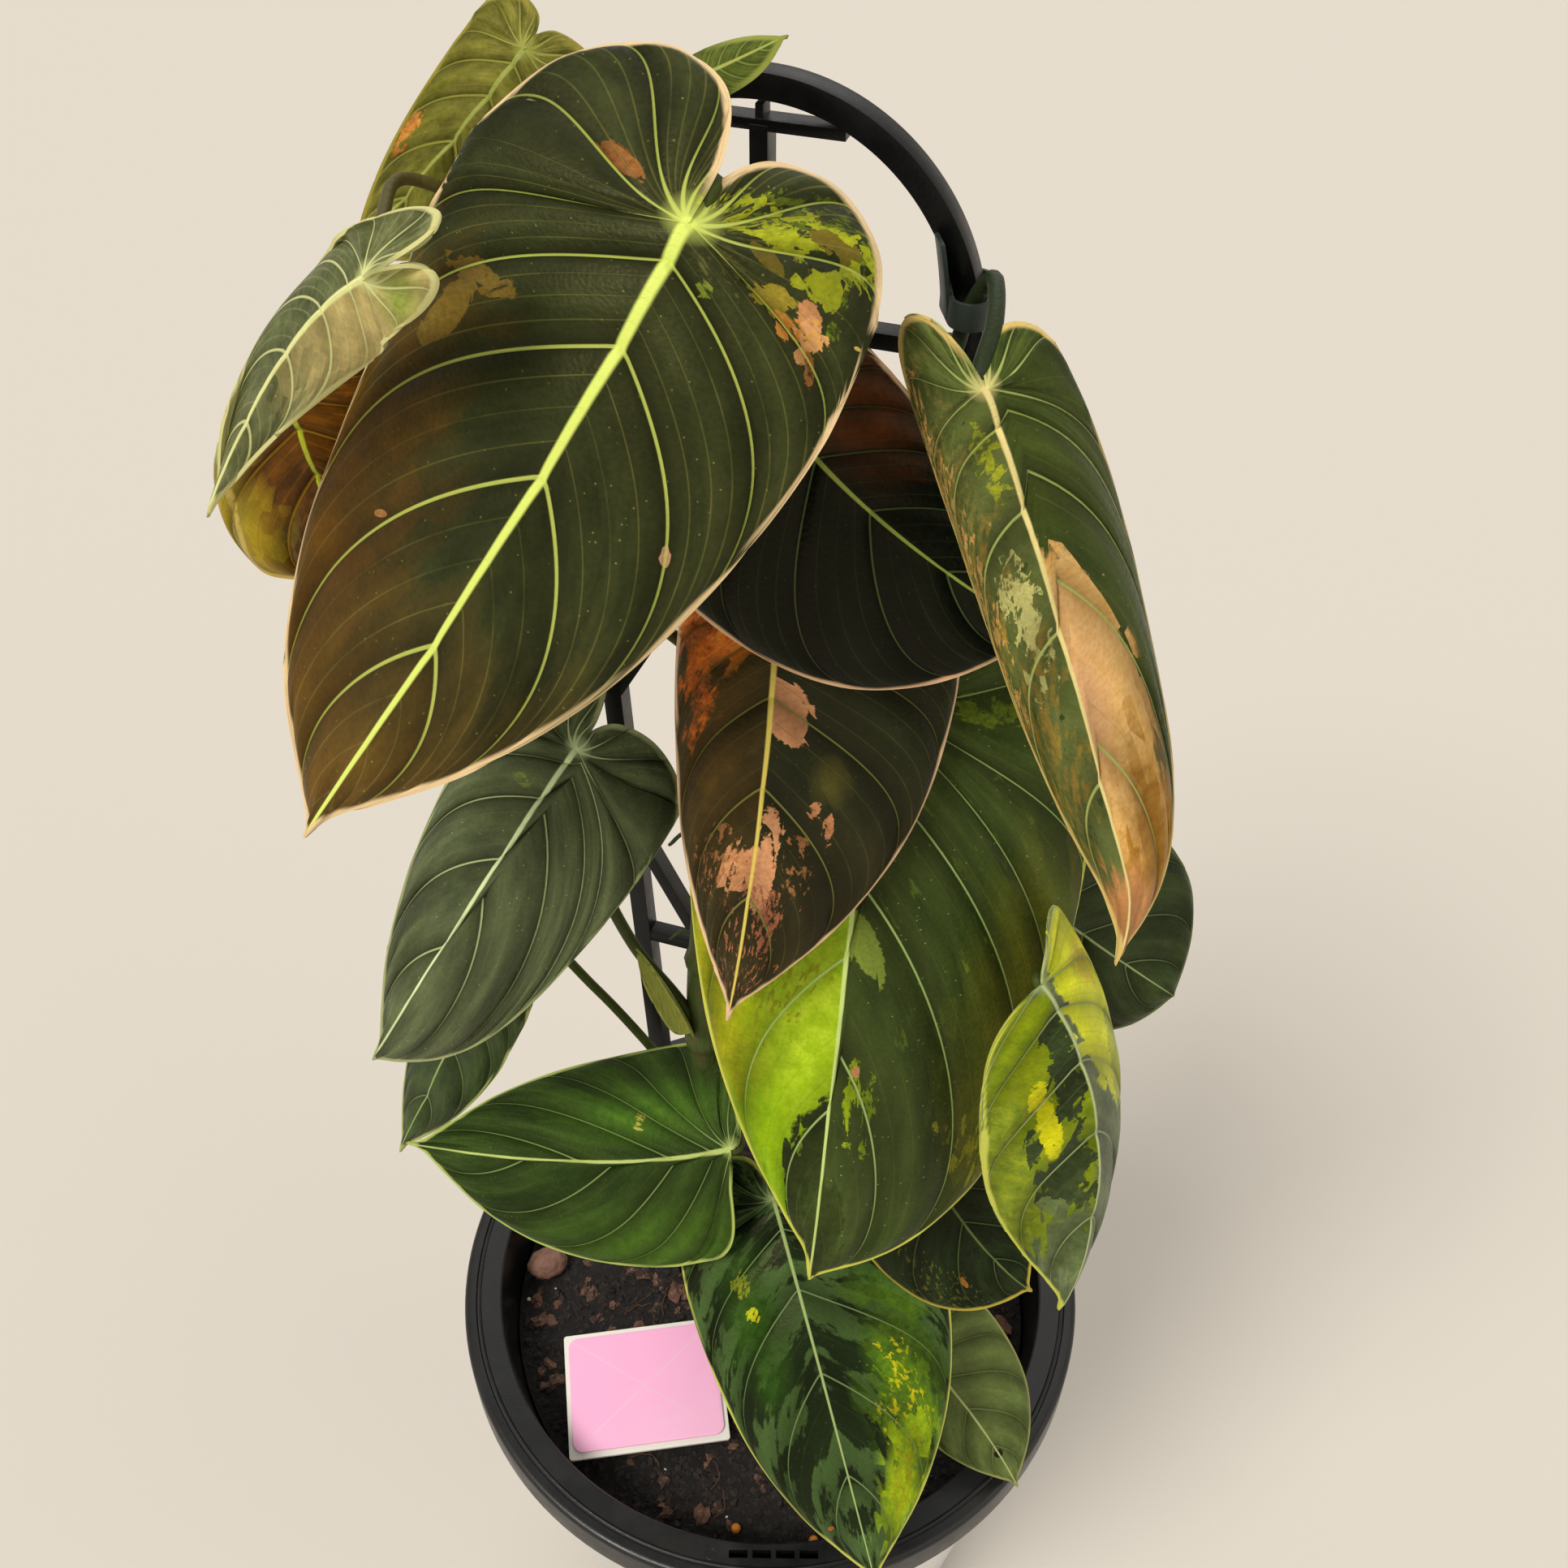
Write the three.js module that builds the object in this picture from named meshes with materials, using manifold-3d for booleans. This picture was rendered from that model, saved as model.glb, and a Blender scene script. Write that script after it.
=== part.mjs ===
// A climbing philodendron with heart-shaped leaves on a plastic trellis, in a nursery pot that hangs
// in a cover pot. Millimetres, +Z up, front towards -Y. The origin is the middle of the cover pot's
// flat bottom.

import * as THREE from "three";
import * as BufferGeometryUtils from "three/addons/utils/BufferGeometryUtils.js";
import Module from "manifold-3d";

const wasm = await Module();
wasm.setup();

// Pots and potting mix

const GAP = 0.3; // clearance between pieces that touch
const POT_SIDES = 40;
const RIM_TOP = 195; // height of the nursery pot's rim
const RIM_RADIUS = 100; // outer radius of the rim
const RIM_BORE = 88; // inner radius of the rim's flat
const RIM_THICK = 2.4;
const RIM_ROUND = 1.8; // rounding of the rim's outer lip
const GROOVE_RADIUS = 95.4; // a shallow groove round the rim
const GROOVE_DEPTH = 0.8;
const SKIRT_DROP = 12; // depth of the skirt that hangs from the rim
const SKIRT_WALL = 2;
const POT_WALL = 1.8;
const NURSERY_FOOT = 10; // underside of the nursery pot above the ground
const NURSERY_FLOOR = 2;
const NURSERY_FOOT_RADIUS = 64;
const DRAIN = { radius: 5, circle: 44, count: 6, sides: 8 };
const SLOTS = { middle: [2, -91.1], size: [5.4, 2.2], pitch: 6.8, count: 4 };

const COVER_FOOT_RADIUS = 70;
const COVER_TOP_RADIUS = 95;
const COVER_WALL = 2.6;
const COVER_FLOOR = 4;
const COVER_EDGE = 2; // chamfer round the bottom

const MIX_TOP = 178;
const MIX_EDGE = 4; // how much lower the mix is at the pot's wall
const MIX_ROUGH = 1.6; // how far the surface rises and falls
const MIX_RINGS = 5;
const BARK = { count: 22, small: 2.6, large: 5.6, inner: 14, outer: 76 };
const STONE = { place: [-76, 9, 179.5], size: [7, 5.5, 4.2], turn: 0.4 };
const SEED = 86;

// Trellis: seen from the front, before it is turned

const TRELLIS_X = -2;
const TRELLIS_TURN = -17; // degrees about Z
const TRELLIS_DEPTH = 5;
const LEG_FOOT = 66; // height of the legs' points
const LEG_POINT = 12; // length of each point
const LEG_HALF_AT_FOOT = 23.8; // from the middle to a leg
const FRAME_WIDTH = 4.4;
const BAR_WIDTH = 3.2;
const ARCH_SPRING = 532; // height where the arch starts
const ARCH_HALF = 41; // outer half width there
const ARCH_RISE = 44;
const ARCH_STEPS = 14;
const CROSS_BARS = [215, 262, 352, 532];
const DIAGONALS = [{ leg: 434, middle: 498 }, { leg: 393, middle: 316 }];
const CREST = { height: 567.4, half: 15, width: 1.9, knob: 3.4 };

// Stem

const STEM_PATH = [
  [-3, -17, 120], [-4, -15, 178], [-9, -11, 250], [-15, -10.5, 300], [-18, -10.5, 336],
  [-15, -10.5, 390], [-10, -10.5, 450], [-8, -11.5, 500], [-7, -12, 530], [-7, -12.5, 556],
];
const STEM_RADIUS = { foot: 4.6, top: 3.5 };
const STEM_SIDES = 8;
const NODE = { swell: 1.1, reach: 4 }; // a node's extra radius, and how far it reaches up and down

const ROOTS = [
  { from: 372, path: [[-22, -8, 371], [-25.5, -6, 366]], radius: 0.8 },
  { from: 402, path: [[-20, -7, 405], [-24.5, -5, 399]], radius: 0.8 },
  { from: 322, path: [[-12, -5, 316], [-9, -4.5, 302], [-9.5, -4, 288]], radius: 0.8 },
  { from: 232, path: [[-12, -6, 222], [-14, -4, 200], [-13, -3, 170]], radius: 1 },
  { from: 460, path: [[-14, -6, 456], [-17, -3.5, 444]], radius: 0.8 },
];
const ROOT_SIDES = 5;

// Leaves

const BLADE = 0.8; // thickness of a leaf blade
const BLADE_STEPS = 14; // vein lines along each half
const BLADE_ROWS = 3; // steps from midrib to margin
const STALK_SIDES = 6;
const STALK_STEPS = 11;

// One half of a heart-shaped blade, from the notch at the petiole round to the tip. The first number
// is in half widths. The second is in lengths, or in lobe depths where it is below zero.
const OUTLINE = [
  [0.0, 0.0], [0.02, -0.5], [0.16, -0.92], [0.46, -1.0], [0.78, -0.62], [0.96, 0.03], [1.0, 0.21],
  [0.94, 0.42], [0.79, 0.61], [0.53, 0.77], [0.23, 0.89], [0.05, 0.955], [0.0, 1.0],
];
const FAN = 0.5; // share of the margin whose veins start at the petiole
const SWEEP = 1.6; // how the other veins crowd towards the petiole
const VEIN_ANGLES = { lobe: 165, base: 60, tip: 35 }; // degrees between a side vein and the midrib
const VEIN_LEAVE = 0.38; // how straight a vein leaves the midrib
const VEIN_ARRIVE = 0.42; // and how far it runs along the margin

// The midrib runs from at through via to tip. A pair gives the left and right halves, as seen from
// the front with the tip down.
// half: width of each half. lobe: depth of the basal lobes in lengths, below zero for a slanting
// base. gape: how far the lobes spread. slim: how much narrower the base is. full: how far the
// widest part moves to the tip. fold: degrees that a half rises from the midrib. roll: degrees that
// it curls back towards its margin. curl: how far the lobes bend to the front. hook: how far the
// tip bends aside. wave: height of the margin's waves. joint: height on the stem where the petiole
// starts. stalk: points that it passes. thick: its radius.
const LEAVES = {
  leaf_crown: {
    at: [-12, -44, 569], via: [-39, -58, 528], tip: [-86, -62, 459], faces: [-0.1, -1, 1],
    half: [42, 33], lobe: [0.17, 0.12], full: [0.3, 0.05], fold: -4, roll: 18, curl: [-6, -8],
    wave: 0.8, joint: 549, stalk: [[-8, -26, 562], [-9, -38, 572]], thick: 1.9, colour: 0x2f3118,
  },
  leaf_right_long: {
    at: [33, -48, 545], via: [51, -57, 498], tip: [75, -61, 427], faces: [0.1, -1, 0.5],
    half: [18, 25], lobe: [0.1, 0.05], gape: 0.1, full: [0.1, 0.3], slim: [0, 0.3], fold: [-38, -12],
    roll: [40, 50], curl: -5, hook: -6, joint: 480,
    stalk: [[14, -16.5, 503], [29, -17.5, 527], [33.6, -16.8, 543], [36.5, -21, 555], [35, -38, 556]],
    thick: 1.7, colour: 0x4c5a38,
  },
  leaf_dark_behind: {
    at: [-1, -30, 533], via: [20, -35, 511], tip: [51, -37, 488], faces: [-0.1, -1, 0.7],
    half: [36, 20], lobe: 0.12, full: 0.2, fold: -5, roll: 20, joint: 512,
    stalk: [[-4, -22, 524]], thick: 1.6, colour: 0x1a1612,
  },
  leaf_bronze_centre: {
    at: [1, -30, 491], via: [-2, -46, 451], tip: [-9, -56, 398], faces: [0.1, -1, 0.7],
    half: [21, 39], lobe: 0.13, fold: [-20, -5], roll: 20, joint: 470,
    stalk: [[-5, -20, 482]], thick: 1.6, colour: 0x33311b,
  },
  leaf_large_halfmoon: {
    at: [21, -22, 461], via: [16, -48, 398], tip: [10, -72, 317], faces: [0.05, -1, 0.8],
    half: [38, 54], lobe: 0.13, full: [-0.05, 0.42], fold: -5, roll: 20, curl: [5, 4], joint: 398,
    stalk: [[-3, -16.5, 416], [14, -17, 442]], thick: 1.9, colour: 0x4d6a22,
  },
  leaf_left_mid: {
    at: [-41, -22, 445], via: [-63, -30, 412], tip: [-99, -30, 347], faces: [-0.1, -1, 0.7],
    half: [22, 28], lobe: [0.14, 0.09], full: [0.05, 0.42], fold: -5, roll: 25, joint: 332,
    stalk: [[-24, -12, 350], [-34, -13, 372], [-42, -14, 405]], thick: 1.5, sheath: true,
    colour: 0x2c3428,
  },
  leaf_left_low: {
    at: [-10, -34, 315], via: [-51, -26, 296], tip: [-105, -10, 280], faces: [-0.1, -0.8, 1],
    half: 31, lobe: [0.04, -0.15], full: [0.05, 0], fold: -5, roll: 25, joint: 302,
    stalk: [[-12, -21, 310]], thick: 1.6, colour: 0x29351f,
  },
  leaf_left_small: {
    at: [-75, 2, 348], via: [-91, 0, 308], tip: [-111, -2, 263], faces: [-0.5, -1, 0.6],
    half: [18, 16], lobe: 0.1, fold: -5, roll: 25, joint: 286,
    stalk: [[-25, -3, 300], [-48, 6, 331], [-66, 9, 352]], thick: 1.3, colour: 0x2f3b22,
  },
  leaf_front_low: {
    at: [1, -34, 291], via: [16, -72, 255], tip: [31, -103, 203], faces: [0.1, -1, 0.9],
    half: [31, 43], lobe: 0.12, fold: -5, roll: 20, joint: 240,
    stalk: [[-4, -22, 256], [-1, -30, 278]], thick: 1.6, colour: 0x3b4a20,
  },
  leaf_low_right_small: {
    at: [41, -48, 238], via: [60, -60, 217], tip: [74, -72, 197], faces: [0.2, -1, 1],
    half: [17, 24], lobe: 0.1, fold: -8, roll: 20, joint: 206,
    stalk: [[10, -22, 216], [32, -38, 236]], thick: 1.3, colour: 0x3a4726,
  },
  leaf_low_right_dark: {
    at: [36, -36, 325], via: [52, -50, 303], tip: [68, -62, 294], faces: [0.1, -1, 0.9],
    half: [27, 20], lobe: 0.12, full: 0.1, fold: -5, roll: 20, joint: 294,
    stalk: [[5, -14.5, 305], [27, -22, 321]], thick: 1.4, colour: 0x1c2417,
  },
  leaf_right_variegated: {
    at: [57, -56, 411], via: [73, -68, 368], tip: [71, -76, 311], faces: [0.35, -1, 0.6],
    half: [25, 25], lobe: [-0.35, 0.08], gape: 0.5, full: [0.1, 0], fold: [-15, -38], roll: 20,
    curl: [0, 5], joint: 316, stalk: [[20, -19, 330], [52, -30, 352], [70, -38, 385], [66, -46, 408]],
    thick: 1.4, colour: 0x7d8c2e,
  },
  leaf_right_back: {
    at: [54, -18, 403], via: [77, -17, 380], tip: [101, -16, 358], faces: [0.2, -1, 0.7],
    half: [24, 34], lobe: 0.1, full: 0.45, fold: -5, roll: 20, joint: 364,
    stalk: [[8, -16.5, 378], [38, -15.5, 400]], thick: 1.4, colour: 0x2a3323,
  },
  leaf_back_upper_left: {
    at: [-39, -8, 581], via: [-53, -12, 566], tip: [-72, -14, 548], faces: [-0.3, -1, 0.6],
    half: [12, 18], lobe: 0.12, fold: -5, roll: 20, joint: 530,
    stalk: [[-20, -6, 556], [-32, -2, 575]], thick: 1.2, colour: 0x6f6526,
  },
  leaf_copper: {
    at: [-82, -30, 535], via: [-79, -30, 515], tip: [-76, -30, 489], faces: [-0.1, -1, 0.6],
    half: [23, 20], lobe: [-0.35, 0.1], full: [0.2, 0], fold: -5, roll: 20, joint: 456,
    stalk: [[-32, -17, 484], [-66, -20, 524]], thick: 1.2, colour: 0x5a3a14,
  },
  leaf_curly: {
    at: [-56, -60, 568], via: [-73, -54, 551], tip: [-93, -48, 520], faces: [-0.3, -1, 0.4],
    half: [10, 9], lobe: [0.2, 0.15], full: [0, -0.2], fold: [-30, -5], roll: 20, wave: 2,
    joint: 541, stalk: [[-24, -16, 552], [-42, -21.5, 560], [-56.5, -26.5, 568], [-57, -42, 569]], thick: 1,
    colour: 0x8a8f62,
  },
  leaf_top_small: {
    at: [-11, -22, 582], via: [-5, -20, 584], tip: [2, -16, 586], faces: [-0.2, -1, 0.8],
    half: 4, lobe: 0.1, fold: -5, roll: 20, joint: 554, stalk: [[-13, -15, 572]], thick: 1,
    colour: 0x5d7a2c,
  },
};

// The winged, boat-shaped foot of one petiole, in the leaves' terms
const SHEATH = {
  at: [-21, -13, 337], via: [-25.5, -13.4, 353], tip: [-34, -14, 373], faces: [-0.4, -1, 0.3],
  half: 4.6, lobe: -0.25, full: 0.1, fold: 35, roll: -30,
};
const SHEATH_STEPS = 6;

// Tie, tag and stone

const TIE = { height: 542.5, tall: 5, strap: 0.9, stalk: [33.4, -16.8], stalkRadius: 2.9, archRadius: 4.3 };
const TIE_TAIL = { long: 14, lean: 8 }; // lean in degrees, away from the loop

const TAG = { size: [50, 40, 1.2], place: [-39.5, -36, 182.6], tilt: 3, turn: 8.5 };
const LABEL = { size: [47, 36.5, 0.6], corner: 3 };

// Colours

const finish = (colour, roughness) =>
  new THREE.MeshStandardMaterial({ color: colour, roughness, metalness: 0 });
const BLACK_PLASTIC = finish(0x1b1c1f, 0.45);
const GREY_POT = finish(0xb7b8b6, 0.35);
const DARK_MIX = finish(0x1d1611, 0.95);
const RED_STONE = finish(0x7c5a4c, 0.8);
const STEM_GREEN = finish(0x4a5526, 0.6);
const TIE_GREEN = finish(0x2c3a34, 0.6);
const TAG_WHITE = finish(0xf2f0ea, 0.5);
const LABEL_PINK = finish(0xe9b3c6, 0.6);
const LEAF_ROUGHNESS = 0.6;

// Solids and curves

const { clamp, degToRad, lerp, mapLinear } = THREE.MathUtils;
const vector = (place) => new THREE.Vector3(...place);
const smooth = (points) => new THREE.CatmullRomCurve3(points.map(vector), false, "centripetal");
const even = (steps) => Array.from({ length: steps + 1 }, (_, i) => i / steps);
const join = (solids) => solids.reduce((whole, solid) => whole.add(solid));

function toSolid(geometry) {
  const bare = geometry.index ? geometry.toNonIndexed() : geometry.clone();
  bare.deleteAttribute("normal");
  bare.deleteAttribute("uv");
  const merged = BufferGeometryUtils.mergeVertices(bare, 1e-4);
  const corners = Array.from(merged.index.array);
  const faces = [];
  for (let i = 0; i < corners.length; i += 3) {
    const [a, b, c] = corners.slice(i, i + 3);
    if (a !== b && b !== c && c !== a) faces.push(a, b, c);
  }
  return new wasm.Manifold(
    new wasm.Mesh({
      numProp: 3,
      vertProperties: new Float32Array(merged.attributes.position.array),
      triVerts: new Uint32Array(faces),
    }),
  );
}

function toGeometry(solid) {
  const mesh = solid.getMesh();
  const geometry = new THREE.BufferGeometry();
  geometry.setAttribute("position", new THREE.BufferAttribute(mesh.vertProperties, 3));
  geometry.setIndex(new THREE.BufferAttribute(mesh.triVerts, 1));
  return geometry;
}

function fromTriangles(corners) {
  const geometry = new THREE.BufferGeometry();
  const values = corners.flatMap((corner) => corner.toArray());
  geometry.setAttribute("position", new THREE.Float32BufferAttribute(values, 3));
  return toSolid(geometry);
}

function lathe(profile, sides) {
  const points = profile.map(([radius, height]) => new THREE.Vector2(radius, height));
  return toSolid(new THREE.LatheGeometry(points, sides).rotateX(Math.PI / 2));
}

// Rings of corners joined by walls, and closed by a fan at each end
function closedRings(rings) {
  const corners = [];
  const sides = rings[0].length;
  const middle = (ring) =>
    ring.reduce((sum, corner) => sum.add(corner), new THREE.Vector3()).divideScalar(sides);
  const [foot, top] = [rings[0], rings[rings.length - 1]];
  const [footMiddle, topMiddle] = [middle(foot), middle(top)];
  for (let i = 0; i < sides; i += 1) {
    const next = (i + 1) % sides;
    corners.push(footMiddle, foot[next], foot[i], topMiddle, top[i], top[next]);
    for (let r = 1; r < rings.length; r += 1) {
      const [low, high] = [rings[r - 1], rings[r]];
      corners.push(low[i], low[next], high[next], low[i], high[next], high[i]);
    }
  }
  return fromTriangles(corners);
}

// A round bar along a curve, with a radius of its own at each of its stations. Its ends may reach
// beyond the curve.
function taperedBar(curve, stations, radiusAt, sides, beyond = 0) {
  const across = new THREE.Vector3();
  const rings = stations.map((station, i) => {
    const forward = curve.getTangent(station);
    if (i === 0) across.set(0, 0, 1).addScaledVector(forward, -forward.z);
    if (across.length() < 0.3) across.set(1, 0, 0);
    across.addScaledVector(forward, -across.dot(forward)).normalize();
    const aside = new THREE.Vector3().crossVectors(forward, across);
    const past = (station === 0 ? -beyond : 0) + (station === 1 ? beyond : 0);
    const middle = curve.getPoint(station).addScaledVector(forward, past);
    return even(sides).slice(1).map((share) => {
      const turn = share * Math.PI * 2;
      return middle.clone()
        .addScaledVector(across, radiusAt(station) * Math.cos(turn))
        .addScaledVector(aside, radiusAt(station) * Math.sin(turn));
    });
  });
  return closedRings(rings);
}

function seeded(seed) {
  let state = seed;
  return () => {
    state = (state * 1664525 + 1013904223) % 4294967296;
    return state / 4294967296;
  };
}

// Blades

const pick = (value, side) => (Array.isArray(value) ? value[side < 0 ? 0 : 1] : (value ?? 0));

// A point of the smooth outline of one half, share 0 at the notch and 1 at the tip
function outlineAt(share, leaf, side) {
  const last = OUTLINE.length - 1;
  const from = Math.min(Math.floor(share * last), last - 1);
  const w = share * last - from;
  const [p0, p1, p2, p3] = [-1, 0, 1, 2].map(
    (k) => new THREE.Vector2(...OUTLINE[clamp(from + k, 0, last)]),
  );
  const spline = (axis) => {
    const [v0, v1] = [(p2[axis] - p0[axis]) / 2, (p3[axis] - p1[axis]) / 2];
    const rise = p1[axis] - p2[axis];
    return (2 * rise + v0 + v1) * w ** 3 - (3 * rise + 2 * v0 + v1) * w ** 2 + v0 * w + p1[axis];
  };
  let [x, y] = [spline("x"), spline("y")];
  const lobe = pick(leaf.lobe, side);
  if (lobe < 0) {
    y = Math.max(y, 0);
    y -= lobe * x * (1 - y);
  } else if (y < 0) {
    x += (leaf.gape ?? 0) * -y * (1 - x);
    y *= lobe;
  }
  if (y > 0) y += 2 * pick(leaf.full, side) * y * (1 - y);
  x *= 1 - pick(leaf.slim, side) * (1 - Math.max(0, y)) ** 3;
  return new THREE.Vector2(x, y);
}

// A point of the flat blade: share runs round the margin, out runs along a side vein
function flatPoint(share, out, leaf, side) {
  const size = new THREE.Vector2(pick(leaf.half, side), leaf.length);
  const step = 0.001;
  const end = outlineAt(share, leaf, side).multiply(size);
  const before = outlineAt(Math.max(0, share - step), leaf, side).multiply(size);
  const after = outlineAt(Math.min(1, share + step), leaf, side).multiply(size);
  const along = after.sub(before).normalize();
  const start = new THREE.Vector2(0, 0);
  let angle = lerp(VEIN_ANGLES.lobe, VEIN_ANGLES.base, share / FAN);
  if (share > FAN) {
    const run = (share - FAN) / (1 - FAN);
    start.y = leaf.length * run ** SWEEP;
    angle = lerp(VEIN_ANGLES.base, VEIN_ANGLES.tip, run);
  }
  const away = new THREE.Vector2(Math.sin(degToRad(angle)), Math.cos(degToRad(angle)));
  const reach = end.distanceTo(start);
  const leave = start.clone().addScaledVector(away, VEIN_LEAVE * reach);
  const arrive = end.clone().addScaledVector(along, -VEIN_ARRIVE * reach);
  return new THREE.CubicBezierCurve(start, leave, arrive, end).getPoint(out);
}

// Adds the midrib's length and its frame at each point to a leaf
function withMidrib(leaf) {
  const [at, via, tip] = [leaf.at, leaf.via, leaf.tip].map(vector);
  const bend = via.multiplyScalar(2).addScaledVector(at, -0.5).addScaledVector(tip, -0.5);
  const curve = new THREE.QuadraticBezierCurve3(at, bend, tip);
  const faces = vector(leaf.faces).normalize();
  const length = curve.getLength();
  const midrib = (run) => {
    const held = clamp(run, 0, 1);
    const forward = curve.getTangent(held);
    const place = curve.getPoint(held).addScaledVector(forward, Math.min(run, 0) * length);
    const up = faces.clone().addScaledVector(forward, -faces.dot(forward)).normalize();
    return { place, forward, up, right: new THREE.Vector3().crossVectors(up, forward) };
  };
  return { ...leaf, length, midrib };
}

// Bends a flat point on to the midrib, with the blade's fold, roll, waves and curled lobes
function bladePoint(share, out, leaf, side) {
  const flat = flatPoint(share, out, leaf, side);
  const half = pick(leaf.half, side);
  const fold = degToRad(pick(leaf.fold, side));
  const roll = degToRad(pick(leaf.roll, side));
  const turned = fold - (roll * Math.abs(flat.x)) / half;
  const aside = (half * (Math.sin(fold) - Math.sin(turned))) / roll;
  let rise = (half * (Math.cos(turned) - Math.cos(fold))) / roll;
  rise += (leaf.wave ?? 0) * out ** 1.6 * Math.sin(6 * Math.PI * share) * Math.min(1, 4 - 4 * share);
  const run = flat.y / leaf.length;
  if (run < 0) rise += (pick(leaf.curl, side) * -run) / Math.max(0.05, pick(leaf.lobe, side));
  const hook = (leaf.hook ?? 0) * (Math.max(0, run - 0.85) / 0.15) ** 2;
  const { place, right, up } = leaf.midrib(run);
  return place.addScaledVector(right, side * aside + hook).addScaledVector(up, rise);
}

// A closed blade: the same triangles above and below, with a wall round the margin
function blade(leaf, steps, rows) {
  const points = [];
  const faces = [];
  const margin = [];
  const seen = new Map();
  const add = (point) => {
    const key = point.toArray().map((value) => Math.round(value * 1000)).join();
    if (!seen.has(key)) seen.set(key, points.push(point) - 1);
    return seen.get(key);
  };
  for (const side of [-1, 1]) {
    const grid = even(steps).map((share) =>
      even(rows).map((out) => add(bladePoint(share, out, leaf, side))),
    );
    for (let i = 0; i < steps; i += 1) {
      const edge = [grid[i][rows], grid[i + 1][rows]];
      margin.push(side < 0 ? edge.reverse() : edge);
      for (let j = 0; j < rows; j += 1) {
        const [a, b, c, d] = [grid[i][j], grid[i + 1][j], grid[i + 1][j + 1], grid[i][j + 1]];
        faces.push(...(side < 0 ? [[a, b, c], [a, c, d]] : [[a, c, b], [a, d, c]]));
      }
    }
  }
  const whole = faces.filter(([a, b, c]) => a !== b && b !== c && c !== a);
  const normals = points.map(() => new THREE.Vector3());
  for (const [a, b, c] of whole) {
    const normal = new THREE.Vector3().crossVectors(
      points[b].clone().sub(points[a]), points[c].clone().sub(points[a]),
    );
    for (const corner of [a, b, c]) normals[corner].add(normal);
  }
  normals.forEach((normal) => normal.normalize());
  const lift = (way) =>
    points.map((point, i) => point.clone().addScaledVector(normals[i], (way * BLADE) / 2));
  const [top, under] = [lift(1), lift(-1)];
  const corners = whole.flatMap(([a, b, c]) => [top[a], top[b], top[c], under[a], under[c], under[b]]);
  for (const [a, b] of margin) corners.push(top[b], top[a], under[a], top[b], under[a], under[b]);
  return fromTriangles(corners);
}

// Stem

const stemCurve = smooth(STEM_PATH);
const [stemFoot, stemTop] = [STEM_PATH[0][2], STEM_PATH[STEM_PATH.length - 1][2]];
const joints = Object.values(LEAVES).map(({ joint }) => joint);

// Where the stem reaches a height, as a share of its curve
function stemShare(height) {
  let [low, high] = [0, 1];
  for (let i = 0; i < 30; i += 1) {
    const middle = (low + high) / 2;
    if (stemCurve.getPoint(middle).z < height) low = middle;
    else high = middle;
  }
  return low;
}

function stemRadius(height) {
  const near = Math.min(...joints.map((joint) => Math.abs(height - joint)));
  const swell = NODE.swell * Math.max(0, 1 - near / NODE.reach);
  return mapLinear(height, stemFoot, stemTop, STEM_RADIUS.foot, STEM_RADIUS.top) + swell;
}

// extra: how much fatter than the stem itself, for what keeps clear of it
function stemSolid(extra) {
  const marks = joints.flatMap((joint) => [joint - NODE.reach, joint, joint + NODE.reach]);
  const bends = STEM_PATH.slice(1, -1).map(([, , height]) => height);
  const heights = [...marks, ...bends]
    .filter((height) => height > stemFoot && height < stemTop)
    .sort((a, b) => a - b)
    .filter((height, i, sorted) => i === 0 || height - sorted[i - 1] > 1.5);
  const stations = [0, ...heights.map(stemShare), 1];
  const radiusAt = (station) => stemRadius(stemCurve.getPoint(station).z) + extra;
  return taperedBar(stemCurve, stations, radiusAt, STEM_SIDES, extra);
}

function rootSolid({ from, path, radius }, extra) {
  const curve = smooth([stemCurve.getPoint(stemShare(from)).toArray(), ...path]);
  return taperedBar(curve, even(2 * path.length + 2), () => radius + extra, ROOT_SIDES, extra);
}

// Leaves

// The petiole starts in the stem's middle, comes up behind the blade and sinks into its midrib
function stalkSolid(leaf) {
  const { place, forward, up } = leaf.midrib(0);
  const sunk = leaf.thick * 0.5;
  const behind = place.clone().addScaledVector(up, -2.4 * sunk).addScaledVector(forward, -sunk);
  const end = place.addScaledVector(up, -sunk).addScaledVector(forward, leaf.length * 0.05);
  const start = stemCurve.getPoint(stemShare(leaf.joint));
  const curve = smooth([start.toArray(), ...leaf.stalk, behind.toArray(), end.toArray()]);
  const radiusAt = (station) => {
    const foot = 0.35 * Math.max(0, 1 - 5 * station);
    const tip = 0.45 * Math.max(0, 8 * station - 7);
    return leaf.thick * (1 + foot - tip);
  };
  return taperedBar(curve, even(STALK_STEPS), radiusAt, STALK_SIDES);
}

function leafSolid(plan, clearOf) {
  const leaf = withMidrib(plan);
  const parts = [blade(leaf, BLADE_STEPS, BLADE_ROWS), stalkSolid(leaf)];
  if (leaf.sheath) parts.push(blade(withMidrib(SHEATH), SHEATH_STEPS, 1));
  return join(parts).subtract(clearOf);
}

// Trellis, built in its own plane: X across, Z up, Y through its depth

const legMiddle = (height) =>
  mapLinear(height, LEG_FOOT, ARCH_SPRING, LEG_HALF_AT_FOOT, ARCH_HALF - FRAME_WIDTH / 2);

function flatBar(shape) {
  const options = { depth: TRELLIS_DEPTH, bevelEnabled: false, curveSegments: ARCH_STEPS };
  const bar = new THREE.ExtrudeGeometry(shape, options);
  return toSolid(bar.rotateX(Math.PI / 2).translate(0, TRELLIS_DEPTH / 2, 0));
}

const outlined = (corners) =>
  flatBar(new THREE.Shape(corners.map(([x, z]) => new THREE.Vector2(x, z))));

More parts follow.
